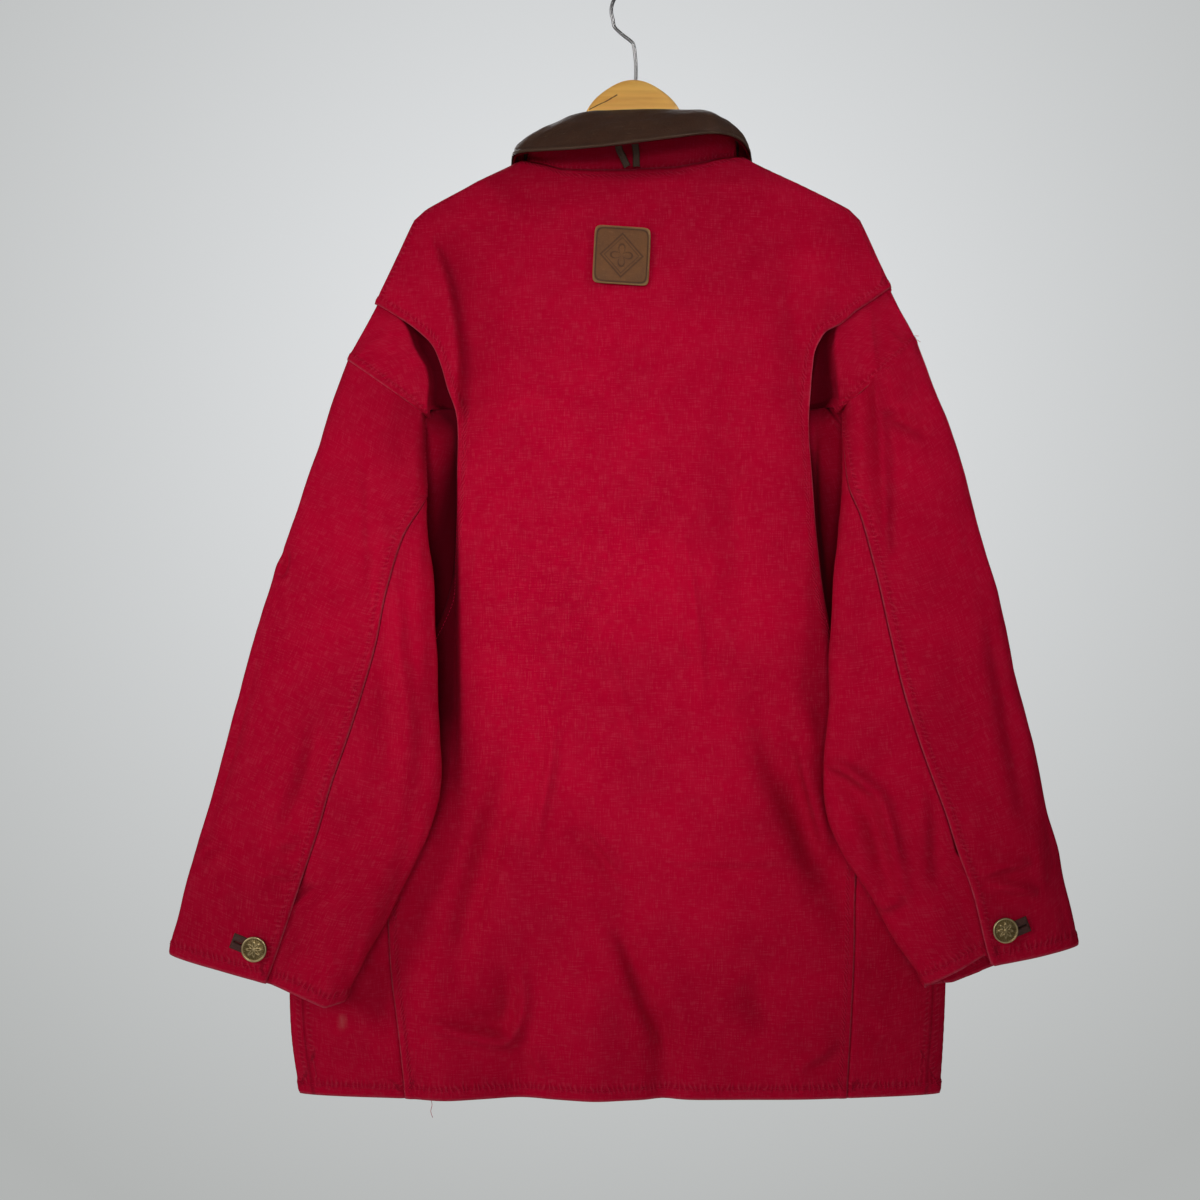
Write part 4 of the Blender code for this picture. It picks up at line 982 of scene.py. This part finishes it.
def sleeve_panel(name, node_name, points, turn, side, seed, foot_lap):
    """Relief, stitches and cloth of one sleeve panel."""
    x, down = points[..., 0], -points[..., 2]
    left, right, top, foot = spans(points)
    near = within(np.sin(turn) * 3)
    far = within(-np.sin(turn) * 3)
    relief = near * (3.2 * creases(SLEEVE_CREASES, x, down) + drops(SLEEVE_STEPS, x, down))
    relief += far * creases(SLEEVE_HIDDEN_CREASES, x, down)
    round_x = x + 90 * np.sin(turn)
    relief += 2.2 * rumple(1.6 * round_x, down, 74, seed + 9) + 1.1 * rumple(round_x, down, 40, seed)
    relief += 0.45 * rumple(round_x, down, 19, seed + 1)
    relief *= np.clip(np.minimum.reduce([left, right, foot]) / 18, 0.05, 1)
    relief += stitched(foot, x, HEM_IN, foot_lap, 0.42, seed + 2)
    if "top" in name:
        relief += lap(right, STITCH_IN, 0.6)
    relief += pucker(right, down, STITCH_IN, 0.3, seed + 3) + pucker(left, down, STITCH_IN, 0.3, seed + 4)
    relief += pucker(top, x, 0.0, 0.25, seed + 5)
    ends = foot * STITCH_IN / HEM_IN
    seam = np.minimum(right, ends) if "top" in name else ends
    # Painted shade: in the vent the under panel is darkened along its edge, beneath the top panel's lap.
    vent = within((down - down[-1:] + 86) / 20) * (0 if "top" in name else 0.75) * near
    lines = HEM_LINES + ([(RIGHT, STITCH_IN)] if "top" in name else [])
    sewn(name, node_name, points, relief, seam, name + "_thread", lines, flip=side < 0,
         marks={"painted_shade": vent * within((13 - left) / 4)})


def sleeve(side, label, rows, cuff):
    """Both panels of a sleeve, from the shoulder seam to the cuff's hem."""
    last = len(rows) - 1
    row = np.concatenate([np.linspace(0.01, last - VENT_ROWS, 130), np.linspace(last - VENT_ROWS, last, 50)[1:]])
    seam = smooth(row, np.arange(len(rows)), rows[:, 6])
    seam_turn = np.where(seam <= 1, np.arccos(1 - 2 * within(seam)),
                         2 * np.pi - np.arccos(1 - 2 * within(2 - seam)))
    front_turn = 2 * np.pi - np.arccos(1 - 2 * FRONT_SEAM)
    wide = smooth(row, np.arange(len(rows)), np.hypot(rows[:, 0] - rows[:, 2], rows[:, 1] - rows[:, 3])) / 2
    gap = SEAM_GAP / np.hypot(wide * np.sin(seam_turn), HALF_DEPTH * np.cos(seam_turn))
    front_gap = FRONT_SEAM_GAP / np.hypot(wide * np.sin(front_turn), HALF_DEPTH * np.cos(front_turn))
    even = np.linspace(0, 1, 96)
    start = front_turn - 2 * np.pi + front_gap
    turn = start[:, None] + (seam_turn - gap - start)[:, None] * even
    points = sleeve_points(rows, cuff, np.broadcast_to(row[:, None], turn.shape), turn)
    sleeve_panel("sleeve_top_panel_" + label, "sleeve_top_" + label, points, turn, side, 200 + side, 0.6)
    even = np.linspace(0, 1, 64)
    vent = within((row - (last - VENT_ROWS)) / 0.4)
    lapped = within((row - (last - VENT_ROWS) - 0.47) / 0.47)
    first = seam_turn + gap - lapped * VENT_LAP
    turn = first[:, None] + (front_turn - front_gap - first)[:, None] * even**1.15
    under_row = np.broadcast_to(row[:, None], turn.shape)
    points = sleeve_points(rows, cuff, under_row, turn)
    inset = vent[:, None] * within((0.30 - even) / 0.12) * (CLOTH + 1.0)
    points = points - inset[..., None] * outward(points, rows, under_row)
    sleeve_panel("sleeve_under_panel_" + label, "sleeve_under_" + label, points, turn, side, 220 + side, 0.5)


# ---- Armhole bands: a gusset ring of canvas under the body's edges, then the sleeve's seam ----
# The band lets the shoulder move; it shows as the strip between the two seams below each shoulder.
ARMHOLE_LEFT = np.array([
    # x, down, share of the back's depth (of the front's when negative)
    (223, 270, 0.0),
    (208, 285, 1.0),
    (186, 297, 1.0),
    (168, 315, 1.0),
    (158, 338, 1.0),
    (151, 364, 1.0),
    (154, 384, 0.9),
    (168, 392, 0.45),
    (178, 388, -0.1),
    (172, 372, -0.7),
    (164, 350, -1.0),
    (170, 324, -1.0),
    (188, 300, -1.0),
    (209, 286, -1.0),
])
ARMHOLE_RIGHT = np.array([
    # x, down, share of the back's depth (of the front's when negative)
    (-221, 256, 0.0),
    (-204, 274, 1.0),
    (-184, 286, 1.0),
    (-162, 304, 1.0),
    (-149, 326, 1.0),
    (-146, 358, 1.0),
    (-150, 382, 0.9),
    (-164, 391, 0.45),
    (-174, 387, -0.1),
    (-170, 371, -0.7),
    (-162, 348, -1.0),
    (-168, 320, -1.0),
    (-186, 294, -1.0),
    (-206, 276, -1.0),
])
BAND_STEPS = [
    # side that drops, drop, reach, rounding, points of (x, down), on the side that faces the camera
    (-1, 15.0, 90, 2.5, [(216, 288), (204, 297), (193, 322), (183, 339), (182, 373), (183, 400)]),
    (1, 15.0, 90, 2.5, [(-178, 290), (-174, 318), (-176, 345), (-179, 370), (-180, 400)]),
]
BELOW_BACK = 4.2
BELOW_FRONT = 1.9
FIRST_RING = 0.14
tuft = [strand(f"seam_tuft_{count}", [(-242, 10, -309), (x, y, z)], 0.2, RED_THREAD)
        for count, (x, y, z) in enumerate(((-249, 14, -310), (-251, 12, -315), (-248, 15, -317)), start=1)]


def band(side, label, hole, rows, cuff):
    """Grid of the band from the armhole's line to the sleeve's first ring, row by row in even steps."""
    closed = np.concatenate([hole, hole[:1]])
    run = np.concatenate([[0], np.cumsum(np.hypot(*np.diff(closed[:, :2], axis=0).T))])
    share = np.linspace(0, 1, 181)
    turn = np.interp(share, [0, run[8] / run[-1], 1], [0, np.pi, 2 * np.pi])
    x, down, part = smooth(share * run[-1], run, closed).T
    back = back_depth(x, down) - BELOW_BACK
    front = front_depth(x, down) + BELOW_FRONT
    edge = section(x, down)[1]
    y = np.where(part > 0, edge + (back - edge) * part, edge - (edge - front) * -part)
    first = points_at(x, y, down)
    ring_row = np.full(len(share), FIRST_RING)
    last = sleeve_points(rows, cuff, ring_row, turn)
    last = last + outward(last, rows, ring_row) * (CLOTH + 1.0)
    steps = np.linspace(0, 1, 46)[:, None, None]
    grid = first + (last - first) * steps
    left, right, top, foot = spans(grid)
    near = within(np.sin(turn) * 4)
    x, down = grid[..., 0], -grid[..., 2]
    relief = 0.8 * rumple(share * 900, top, 26, 301 + side) * within(foot / 10)
    relief = relief + near * (drops(BAND_STEPS, x, down) + drops(SLEEVE_STEPS, x, down) + drops(BACK_STEPS, x, down))
    relief += stitched(foot, share[None, :] * run[-1] + 0 * foot, STITCH_IN, 0.7, 0.5, 303 + side)
    # Painted shade: the band darkens past the line where it turns in beneath the back's edge, on the side toward the
    # camera.
    turn_in = BAND_STEPS[0 if side > 0 else 1]
    painted_shade = 0.78 * near * within(turn_in[0] * from_line(turn_in[4], x, down)[0] / 6)
    sewn("armhole_" + label, "band_" + label, grid, relief, foot, "armhole_thread_" + label,
         [(FOOT, STITCH_IN)], flip=side < 0, lift=0.0, marks={"painted_shade": painted_shade}, ring=True)


for side, label, rows, cuff, hole in ((1, "left", SLEEVE_LEFT, CUFF_LEFT, ARMHOLE_LEFT),
                                      (-1, "right", SLEEVE_RIGHT, CUFF_RIGHT, ARMHOLE_RIGHT)):
    band(side, label, hole, rows, cuff)
    sleeve(side, label, rows, cuff)

# ---- Collar: a canvas stand and under-collar with a leather leaf folded over them ----
COLLAR = np.array([
    # place, fold x, y, down, free edge x, y, down
    (0, 16, -45, 217, 64, -62, 290),
    (1, 46, -44, 206, 92, -58, 258),
    (2, 74, -35, 186, 112, -46, 212),
    (3, 93, -18, 166, 110, -26, 168),
    (4, 96, 2, 147, 107, 6, 152),
    (5, 88, 18, 139.5, 101, 32, 155),
    (6, 68, 28, 127, 84, 56, 159.5),
    (7, 44, 33.5, 120, 50, 76, 163),
    (8, 4, 36.5, 119, 14, 80, 160.5),
    (9, -37, 35, 118.5, -28, 78, 154.5),
    (10, -62, 30, 118.5, -58, 69, 148.5),
    (11, -80, 21, 128, -80, 50, 144.5),
    (12, -89, 6, 138, -96, 20, 145.5),
    (13, -88, -14, 155, -105, -16, 157),
    (14, -72, -32, 180, -114, -40, 206),
    (15, -38, -43, 204, -86, -54, 254),
    (16, 0, -45, 217, -50, -62, 290),
])
STATIONS = np.linspace(0, 16, 241)
FOLD = smooth(STATIONS, COLLAR[:, 0], COLLAR[:, 1:4]) * (1, 1, -1)
FREE = smooth(STATIONS, COLLAR[:, 0], COLLAR[:, 4:7]) * (1, 1, -1)
FALL = FREE - FOLD
LIFT = direction(np.cross(FALL, np.gradient(FOLD, axis=0)))
LEATHER_PER_STATION = 25


def leaf(shares, arch, above):
    """Rows of the leaf from the fold to the free edge, arched upward and lifted by a distance."""
    share = np.asarray(shares)[:, None, None]
    lift = arch * np.sin(np.pi * within(share)) ** 0.8 + above
    return FOLD + FALL * share + LIFT * lift


def leather(name, dark, mid, pale, grain, scuff):
    """Worn leather: pebbled bump, fine crease lines, cloudy tint, pale scratches where scuff is set, pale rims,
    darker tooled lines, and painted shade in the cuff welts' slits.
    """
    material, shader, add = new_look(name)
    worn, rim, pressed_and_slit_shade = (add("Attribute", attribute_name=mark) for mark in ("worn", "rim", "pressed_and_slit_shade"))
    cut = add("UVMap", uv_map="cut")
    clouds = add("TexNoise", {"Vector": cut, "Scale": 0.07, "Detail": 6.0, "Roughness": 0.65})
    cells = add("TexVoronoi", {"Vector": cut, "Scale": 1.0 / grain}, feature="DISTANCE_TO_EDGE")
    fine = add("TexNoise", {"Vector": cut, "Scale": 1.6, "Detail": 4.0, "Roughness": 0.7})
    lines = add("TexNoise", {"Vector": cut, "Scale": 0.22, "Detail": 5.0, "Distortion": 1.6})
    stretched = add("Mapping", {"Vector": cut, "Scale": (0.10, 0.75, 1.0)})
    marks = add("TexNoise", {"Vector": stretched, "Scale": 1.0, "Detail": 6.0, "Roughness": 0.75, "Distortion": 0.6})
    marks = add("MapRange", (marks, 0.60, 0.70, 0.0, 0.8))
    for share in (worn, scuff):
        marks = add("Math", (marks, share), operation="MULTIPLY")
    base = colour(dark)
    # The third attribute darkens tooled lines, which are real, and the cuff welts' slits, where the dark is painted
    # shade.
    for share, tint in ((clouds, mid), (marks, pale), (rim, pale), (pressed_and_slit_shade, "#2a1a12")):
        base = add("Mix", {0: share, 6: base, 7: colour(tint)}, data_type="RGBA")
    pebble = add("MapRange", (cells, 0.0, 0.25, 0.0, 1.0))
    normal = {}
    for height, distance in ((pebble, 0.00012), (lines, 0.0012), (fine, 0.00015)):
        normal = {"Normal": add("Bump", {"Height": height, "Distance": distance, "Strength": 0.5, **normal})}
    rough = add("MapRange", (clouds, 0.3, 0.7, 0.42, 0.62))
    feed(shader, {**normal, "Base Color": base, "Roughness": rough, "Specular IOR Level": 0.25})
    return material


COLLAR_LEATHER = leather("collar_leather", "#2f190d", "#523525", "#a89078", 0.9, 1.0)
shares = np.concatenate([[0.0], np.linspace(0.04, 1.0, 37)])
leaf_grid = leaf(shares, 5.0, 0.0)
leaf_grid[0] = FOLD + (0, 0, -1.2)
top, foot = spans(leaf_grid)[2:]
station = np.broadcast_to(STATIONS[None], top.shape)
length = station * LEATHER_PER_STATION
relief = 1.2 * rumple(length, top, 26, 401) + 0.5 * rumple(length, top, 9, 402)
relief *= within(foot / 8) * within(top / 4)
relief = relief + 0.5 * bell(foot - 1.6, 1.3) - 0.5 * bell(foot - 4.2, 1.0)
normal = facing(leaf_grid, False)
leaf_outer = leaf_grid + normal * (1.8 + relief)[..., None]
uv = np.stack([length, top], axis=-1)
worn = 1.5 * bell(top / (top + foot) - 0.66, 0.16) * bell(station - 7.4, 2.2)
rim = 0.08 * bell(foot - 1.5, 0.9)
fields = {"worn": worn, "rim": rim, "pressed_and_slit_shade": 0.35 * bell(foot - 4.2, 0.8)}
collar = shell("collar_leaf_leather", "collar_leaf", leaf_outer, COLLAR_LEATHER, 1.6,
               fields=fields, uv=uv)
leaf_width, leaf_length, leaf_area = cut_size("collar_leaf_leather", leaf_grid)

# The under-collar is painted in shade: the darker canvas and an even painted shade stand for the leaf's shadow on it.
under_grid = leaf(np.linspace(0.2, 0.95, 14), 5.0, -2.7)
top, foot = spans(under_grid)[2:]
sewn("under_collar_cloth", "under_collar", under_grid, 0.0 * top, foot + 3, look=SHADED_RED,
     wall=1.2, lift=1.4, marks={"painted_shade": 0.5 + 0 * top})


def neck_line(x, front):
    """Points of the neck seam above x, on the back's surface or on the front's."""
    top = SHOULDERS_AND_BACK_NECK if not front else FRONT_NECK[1] + FRONT_NECK[-1]
    top = np.asarray(sorted(top), float)
    down = np.interp(x, top[:, 0], top[:, 1])
    return points_at(x, (front_depth if front else back_depth)(x, down), down)


foot_x = np.interp(STATIONS, [0, 2, 3.6, 4.4, 6, 8, 10, 11.6, 12.4, 14, 16],
                   [14, 74, 98, 98, 72, 4, -54, -92, -92, -66, 0])
in_front = (STATIONS < 4)[:, None] | (STATIONS > 12)[:, None]
stand_foot = np.where(in_front, neck_line(foot_x, True), neck_line(foot_x, False))
NECK_CENTRE = np.array([2.0, 0.0])
clear = np.interp(STATIONS, [0, 4, 12, 13, 16], [6.4, 5.4, 5.0, 7.0, 9.0])[:, None]
stand_foot[:, :2] += direction(NECK_CENTRE - stand_foot[:, :2]) * clear
stand_foot[:, 2] -= 2.5
head = FOLD + (0, 0, -2.5)
head[:, :2] += direction(NECK_CENTRE - head[:, :2]) * 1.2
knee = stand_foot + (0, 0, 7.0)
stand_rows = np.stack([head, (head + knee) / 2, knee, stand_foot])
stand_grid = np.stack([smooth(t, np.arange(4), stand_rows) for t in np.linspace(0, 3, 19)])
top, foot = spans(stand_grid)[2:]
relief = 0.5 * rumple(length[:1] + 0 * top, top, 18, 411) * within(foot / 8)
# Painted shadow along the stand's top, beneath the leaf's edge.
sewn("collar_stand_cloth", "collar_stand", stand_grid, relief, foot + 3,
     marks={"painted_shade": 0.34 * np.exp(-top / 7)})

# ---- Hanging loop: a narrow leather strap folded into a loop and caught in the neck seam ----
LOOP = np.array([
    # x, y, down
    (7.2, 37.4, 167.4),
    (11.0, 39.0, 160.0),
    (15.0, 41.5, 150.5),
    (13.5, 42.6, 144.5),
    (8.0, 43.0, 142.0),
    (2.5, 42.6, 144.5),
    (0.5, 41.0, 151.0),
    (-0.5, 37.4, 167.4),
])
LOOP_WIDTH = 6.2
LOOP_LEATHER = leather("loop_leather", "#38261d", "#5d4435", "#84695a", 0.7, 0.4)
path = along(LOOP * (1, 1, -1), np.linspace(0, 1, 90))
side = direction(np.cross(direction(np.gradient(path, axis=0)), (0.0, 1.0, 0.0)))
width = np.linspace(-LOOP_WIDTH / 2, LOOP_WIDTH / 2, 11)
loop_grid = path[:, None] + side[:, None] * width[:, None]
loop_grid[..., 1] += 1.6 + 0.35 * bell(np.abs(width) - 1.9, 0.5) - 0.5 * (np.abs(width) / 2.7) ** 6
run = spans(loop_grid)[2]
rim = np.broadcast_to(0.1 * bell(np.abs(width) - 2.5, 0.4), run.shape)
shell("hang_loop_leather", "hang_loop", loop_grid, LOOP_LEATHER, 1.4, True,
      {"worn": 0 * run + 0.5, "rim": rim, "pressed_and_slit_shade": 0 * run}, np.stack([width + 0 * run, run], axis=-1))

# ---- Patch: a square of vegetable-tanned leather on the upper back, its border and a plain diamond pressed in ----
PATCH_CORNERS = np.array([[(35.3, 217.8), (-13.1, 221.3)], [(37.9, 268.0), (-10.8, 271.4)]])
PATCH_WALL = 1.8
PATCH_SIZE = 49.5
PATCH_LEATHER = leather("patch_leather", "#553218", "#80532c", "#b08a5a", 1.1, 0.4)
u, v = np.meshgrid(np.linspace(0, 1, 99), np.linspace(0, 1, 99))
square_u, square_v = 2 * u - 1, 2 * v - 1
rounding = np.maximum(np.maximum(np.abs(square_u), np.abs(square_v)), 1e-6)
rounding = rounding / (np.abs(square_u) ** 11 + np.abs(square_v) ** 11 + 1e-12) ** (1 / 11)
u, v = (square_u * rounding + 1) / 2, (square_v * rounding + 1) / 2
head_line = PATCH_CORNERS[0, 0] + (PATCH_CORNERS[0, 1] - PATCH_CORNERS[0, 0]) * u[..., None]
foot_line = PATCH_CORNERS[1, 0] + (PATCH_CORNERS[1, 1] - PATCH_CORNERS[1, 0]) * u[..., None]
spot = head_line + (foot_line - head_line) * v[..., None]
a, b = (u - 0.5) * PATCH_SIZE, (v - 0.5) * PATCH_SIZE
rim_distance = PATCH_SIZE / 2 - (np.abs(a) ** 9 + np.abs(b) ** 9) ** (1 / 9)
diamond = np.abs(a) + np.abs(b)
pressed_and_slit_shade = bell(rim_distance - 2.1, 0.55) + 0.9 * bell(diamond - 18.5, 0.8)
pressed_and_slit_shade += 0.8 * bell(diamond - 15.2, 0.45)
petal = np.hypot(a, b) - 8.0 * np.abs(np.cos(2 * np.arctan2(b, a))) - 1.4
pressed_and_slit_shade += 0.9 * bell(petal, 0.7)
pressed_and_slit_shade = within(pressed_and_slit_shade)
relief = -0.4 * pressed_and_slit_shade - 0.6 * within(1 - rim_distance / 1.0) ** 2 + 0.25 * rumple(a, b, 14, 421)
y = back_depth(spot[..., 0], spot[..., 1]) + CLOTH + 0.4
patch_grid = np.stack([spot[..., 0], y + PATCH_WALL + relief, -spot[..., 1]], axis=-1)
fields = {"worn": np.ones(u.shape), "rim": 0.5 * within(1 - rim_distance / 1.6) ** 0.6, "pressed_and_slit_shade": 0.75 * pressed_and_slit_shade}
patch = shell("patch_square", "patch", patch_grid, PATCH_LEATHER, PATCH_WALL,
              fields=fields, uv=np.stack([a, b], axis=-1))

# ---- Buttons and cuff welts: stamped antique-brass shank buttons, and a leather-bound hole by each cuff button ----
BUTTON = np.array([(0, 0), (7.0, 0), (9.6, 0.5), (10.8, 1.5), (10.8, 2.6), (10.2, 3.1), (9.4, 3.0), (8.9, 2.7),
                   (4.0, 3.1), (0, 3.4)])
WELT = (16.0, 13.5)
WELT_WALL = 1.2


def brass_look():
    """Antiqued brass: dark brown lacquer in the hollows, rubbed bright on ridges, and mottled."""
    material, shader, add = new_look("antique_brass")
    place = add("TexCoord", out="Object")
    clouds = add("TexNoise", {"Vector": place, "Scale": 300.0, "Detail": 5.0, "Roughness": 0.7})
    rubbed = add("Attribute", attribute_name="rubbed")
    mixed = add("Math", (clouds, 0.5, rubbed), operation="MULTIPLY_ADD")
    mixed = add("MapRange", (mixed, 0.3, 1.0, 0.0, 1.0))
    base = add("Mix", {0: mixed, 6: colour("#6b5836"), 7: colour("#cdb88a")}, data_type="RGBA")
    rough = add("MapRange", (clouds, 0.3, 0.7, 0.28, 0.5))
    bump = add("Bump", {"Height": clouds, "Distance": 0.0002, "Strength": 0.4})
    feed(shader, {"Base Color": base, "Roughness": rough, "Normal": bump, "Metallic": 1.0})
    return material


BRASS = brass_look()


def button(name, node_name, centre, axis):
    """A button from its profile, with ribs round the rim and a plain eight-leaf wheel raised in the middle."""
    run = run_along(BUTTON)
    at = np.linspace(0, run[-1], 52)[1:-1]
    radius, height = np.interp(at, run, BUTTON[:, 0]), np.interp(at, run, BUTTON[:, 1])
    turn = np.linspace(0, 2 * np.pi, 81)
    r = radius[:, None] + 0 * turn
    front = (at > run[4])[:, None]
    ribs = 0.14 * np.cos(30 * turn) * bell(r - 7.9, 0.7)
    wheel = 0.30 * bell(r - 4.4 - 1.7 * np.cos(8 * turn), 0.75) + 0.3 * bell(r, 1.4)
    h = height[:, None] + front * (ribs + wheel)
    rubbed = 0.1 + front * (0.55 * bell(r - 10.1, 0.6) + 1.2 * wheel + ribs)
    up = np.array(axis, float) / np.linalg.norm(axis)
    side = np.cross((0.0, 0.0, 1.0), up)
    side /= np.linalg.norm(side)
    ahead = np.cross(up, side)
    points = np.array(centre) + r[..., None] * (np.cos(turn)[:, None] * side + np.sin(turn)[:, None] * ahead)
    points = points + h[..., None] * up
    shell(name, node_name, points, BRASS, 0, True, {"rubbed": rubbed}, ring=True, capped=True)


def on_sleeve(rows, cuff, row, turn):
    """A point of the sleeve with its outward, downward and sideways unit vectors."""
    step = 0.02
    here = sleeve_points(rows, cuff, row, turn)
    ahead = sleeve_points(rows, cuff, row + step, turn) - sleeve_points(rows, cuff, row - step, turn)
    aside = sleeve_points(rows, cuff, row, turn + step) - sleeve_points(rows, cuff, row, turn - step)
    ahead /= np.linalg.norm(ahead)
    out = np.cross(ahead, aside)
    out *= np.sign(out[1]) / np.linalg.norm(out)
    return here, out, ahead, np.cross(out, ahead)


WELT_LEATHER = leather("welt_leather", "#3a1c18", "#55302a", "#8a6a5c", 0.9, 0.3)
for label, rows, cuff, button_at, welt_at in (
        ("left", SLEEVE_LEFT, CUFF_LEFT, (10.42, 1.45), (10.38, 1.287)),
        ("right", SLEEVE_RIGHT, CUFF_RIGHT, (10.5, 1.41), (10.5, 1.218))):
    here, out, ahead, aside = on_sleeve(rows, cuff, *button_at)
    button("cuff_stud_" + label, "cuff_button_" + label, here + out * (CLOTH + 0.8 + WELT_WALL + 0.3), out)
    here, out, ahead, aside = on_sleeve(rows, cuff, *welt_at)
    u, v = np.meshgrid(np.linspace(-0.5, 0.5, 41), np.linspace(-0.5, 0.5, 37))
    slit = bell(v * WELT[1], 0.55) * within((0.40 - np.abs(u)) / 0.03)
    lips = bell(np.abs(v) * WELT[1] - 1.9, 1.3) * within((0.44 - np.abs(u)) / 0.05)
    edge = np.minimum(0.5 - np.abs(u), (0.5 - np.abs(v)) * 0.8)
    h = CLOTH + 0.7 + WELT_WALL + 0.9 * lips - 1.6 * slit - 0.7 * within(1 - edge / 0.06) ** 2
    points = here + ahead * (v * WELT[1])[..., None] + aside * (u * WELT[0])[..., None] + out * h[..., None]
    turned_over = np.cross(ahead, aside) @ out < 0
    # The slit between the lips is coloured dark as painted shade of the opening.
    welt = shell("cuff_hole_" + label, "cuff_welt_" + label, points, WELT_LEATHER, 1.0, turned_over,
                 {"worn": lips, "rim": 0 * u, "pressed_and_slit_shade": slit}, np.stack([u * WELT[0], v * WELT[1]], axis=-1))

FRONT_BUTTONS = (285, 400, 515, 630, 745)
for count, at in enumerate(FRONT_BUTTONS, start=1):
    y = float(front_depth(CENTRE, at))
    button(f"front_stud_{count}", f"front_button_{count}", (CENTRE, y - CLOTH - 0.9, -at), (0, -1, 0))

# ---- Hanger: a varnished wooden dome with an arm along each shoulder, cut from one board ----
HANGER = np.array([
    # x, top, foot (both as down), half thickness
    (184, 212, 220, 4),
    (176, 204, 225, 6),
    (158, 194, 223, 7),
    (134, 183, 216, 7),
    (108, 173, 206, 7),
    (84, 167, 197, 7),
    (62, 154, 188, 7),
    (49, 124, 182, 7),
    (42, 107, 180, 7),
    (32, 95, 178, 7),
    (16, 84.5, 176, 7),
    (1.5, 81.2, 175, 7),
    (-13, 84.5, 176, 7),
    (-29, 95, 178, 7),
    (-39, 107, 180, 7),
    (-46, 124, 182, 7),
    (-60, 152, 188, 7),
    (-82, 165, 197, 7),
    (-106, 172, 206, 7),
    (-134, 183, 216, 7),
    (-160, 194, 223, 7),
    (-178, 204, 225, 6),
    (-186, 212, 220, 4),
])


def wood_look():
    """Varnished beech: grain streaks along the arms, small rays, a clear coat, and one fine dark crack."""
    material, shader, add = new_look("varnished_wood")
    place = add("TexCoord", out="Object")
    stretched = add("Mapping", {"Vector": place, "Scale": (14.0, 60.0, 150.0)})
    grain = add("TexNoise", {"Vector": stretched, "Scale": 1.0, "Detail": 6.0, "Roughness": 0.6, "Distortion": 0.5})
    rings = add("TexWave", {"Vector": stretched, "Scale": 0.35, "Distortion": 5.0, "Detail": 3.0,
                            "Detail Scale": 0.6}, bands_direction="Z")
    rings = add("Math", (rings, 0.16), operation="MULTIPLY")
    streak = add("MapRange", (grain, 0.35, 0.7, 0.0, 1.0))
    # The crack is a straight line on the board that wanders a little with the grain.
    across = add("VectorMath", (place, (0.461, 0.0, 0.887)), operation="DOT_PRODUCT")
    ahead = add("VectorMath", (place, (-0.887, 0.0, 0.461)), operation="DOT_PRODUCT")
    wander = add("Math", (grain, 0.003, across), operation="MULTIPLY_ADD")
    crack = add("Math", (wander, -0.0764, 0.0005), operation="COMPARE")
    started = add("Math", (ahead, -0.086), operation="GREATER_THAN")
    ended = add("Math", (ahead, -0.058), operation="LESS_THAN")
    for share in (started, ended):
        crack = add("Math", (crack, share), operation="MULTIPLY")
    base = colour("#ffc765")
    for share, tint in ((streak, "#f0ac50"), (rings, "#d08c36"), (crack, "#6a4212")):
        base = add("Mix", {0: share, 6: base, 7: colour(tint)}, data_type="RGBA")
    bump = add("Bump", {"Height": grain, "Distance": 0.0002, "Strength": 0.3})
    feed(shader, {"Base Color": base, "Normal": bump, "Roughness": 0.38, "Coat Weight": 0.15, "Coat Roughness": 0.18})
    return material


turn = np.linspace(0, 2 * np.pi, 41) + np.pi / 12
stations = smooth(np.linspace(0, len(HANGER) - 1, 181), np.arange(len(HANGER)), HANGER)
hx, htop, hfoot, half = stations.T[:, :, None]
hz = -(htop + hfoot) / 2 + (hfoot - htop) / 2 * np.sign(np.cos(turn)) * np.abs(np.cos(turn)) ** 0.35
hy = half * np.sign(np.sin(turn)) * np.abs(np.sin(turn)) ** 0.5
board = np.stack([hx + 0 * turn, hy, hz], axis=-1)
shell("hanger_board", "hanger", board, wood_look(), 0, True, ring=True, capped=True)

# ---- Hook: a bent nickel-plated wire, its open end toward -X ----
WIRE = 1.6
HOOK_RADIUS = 21.0
arc = np.radians(np.arange(33, 213, 12))
hook_line = [(HOOK_RADIUS * -np.cos(a), 0, WIRE - HOOK_RADIUS + HOOK_RADIUS * np.sin(a)) for a in arc]
hook_line += [(18.3, 0, -33.4), (14.6, 0, -37.6), (9.4, 0, -42.0), (4.6, 0, -45.6), (1.9, 0, -48.2),
              (0.9, 0, -51.5), (0, 0, -58), (0, 0, -103)]


def metal_look():
    """Nickel plate: bright, with faint draw marks along the wire."""
    material, shader, add = new_look("nickel_plate")
    marks = add("TexNoise", {"Vector": add("TexCoord", out="Object"), "Scale": 700.0, "Detail": 4.0})
    base = add("Mix", {0: marks, 6: colour("#8a8888"), 7: colour("#bcbaba")}, data_type="RGBA")
    rough = add("MapRange", (marks, 0.3, 0.7, 0.28, 0.42))
    feed(shader, {"Base Color": base, "Roughness": rough, "Metallic": 1.0})
    return material


strand("hook_wire", hook_line, WIRE, metal_look(), "hook", 140)
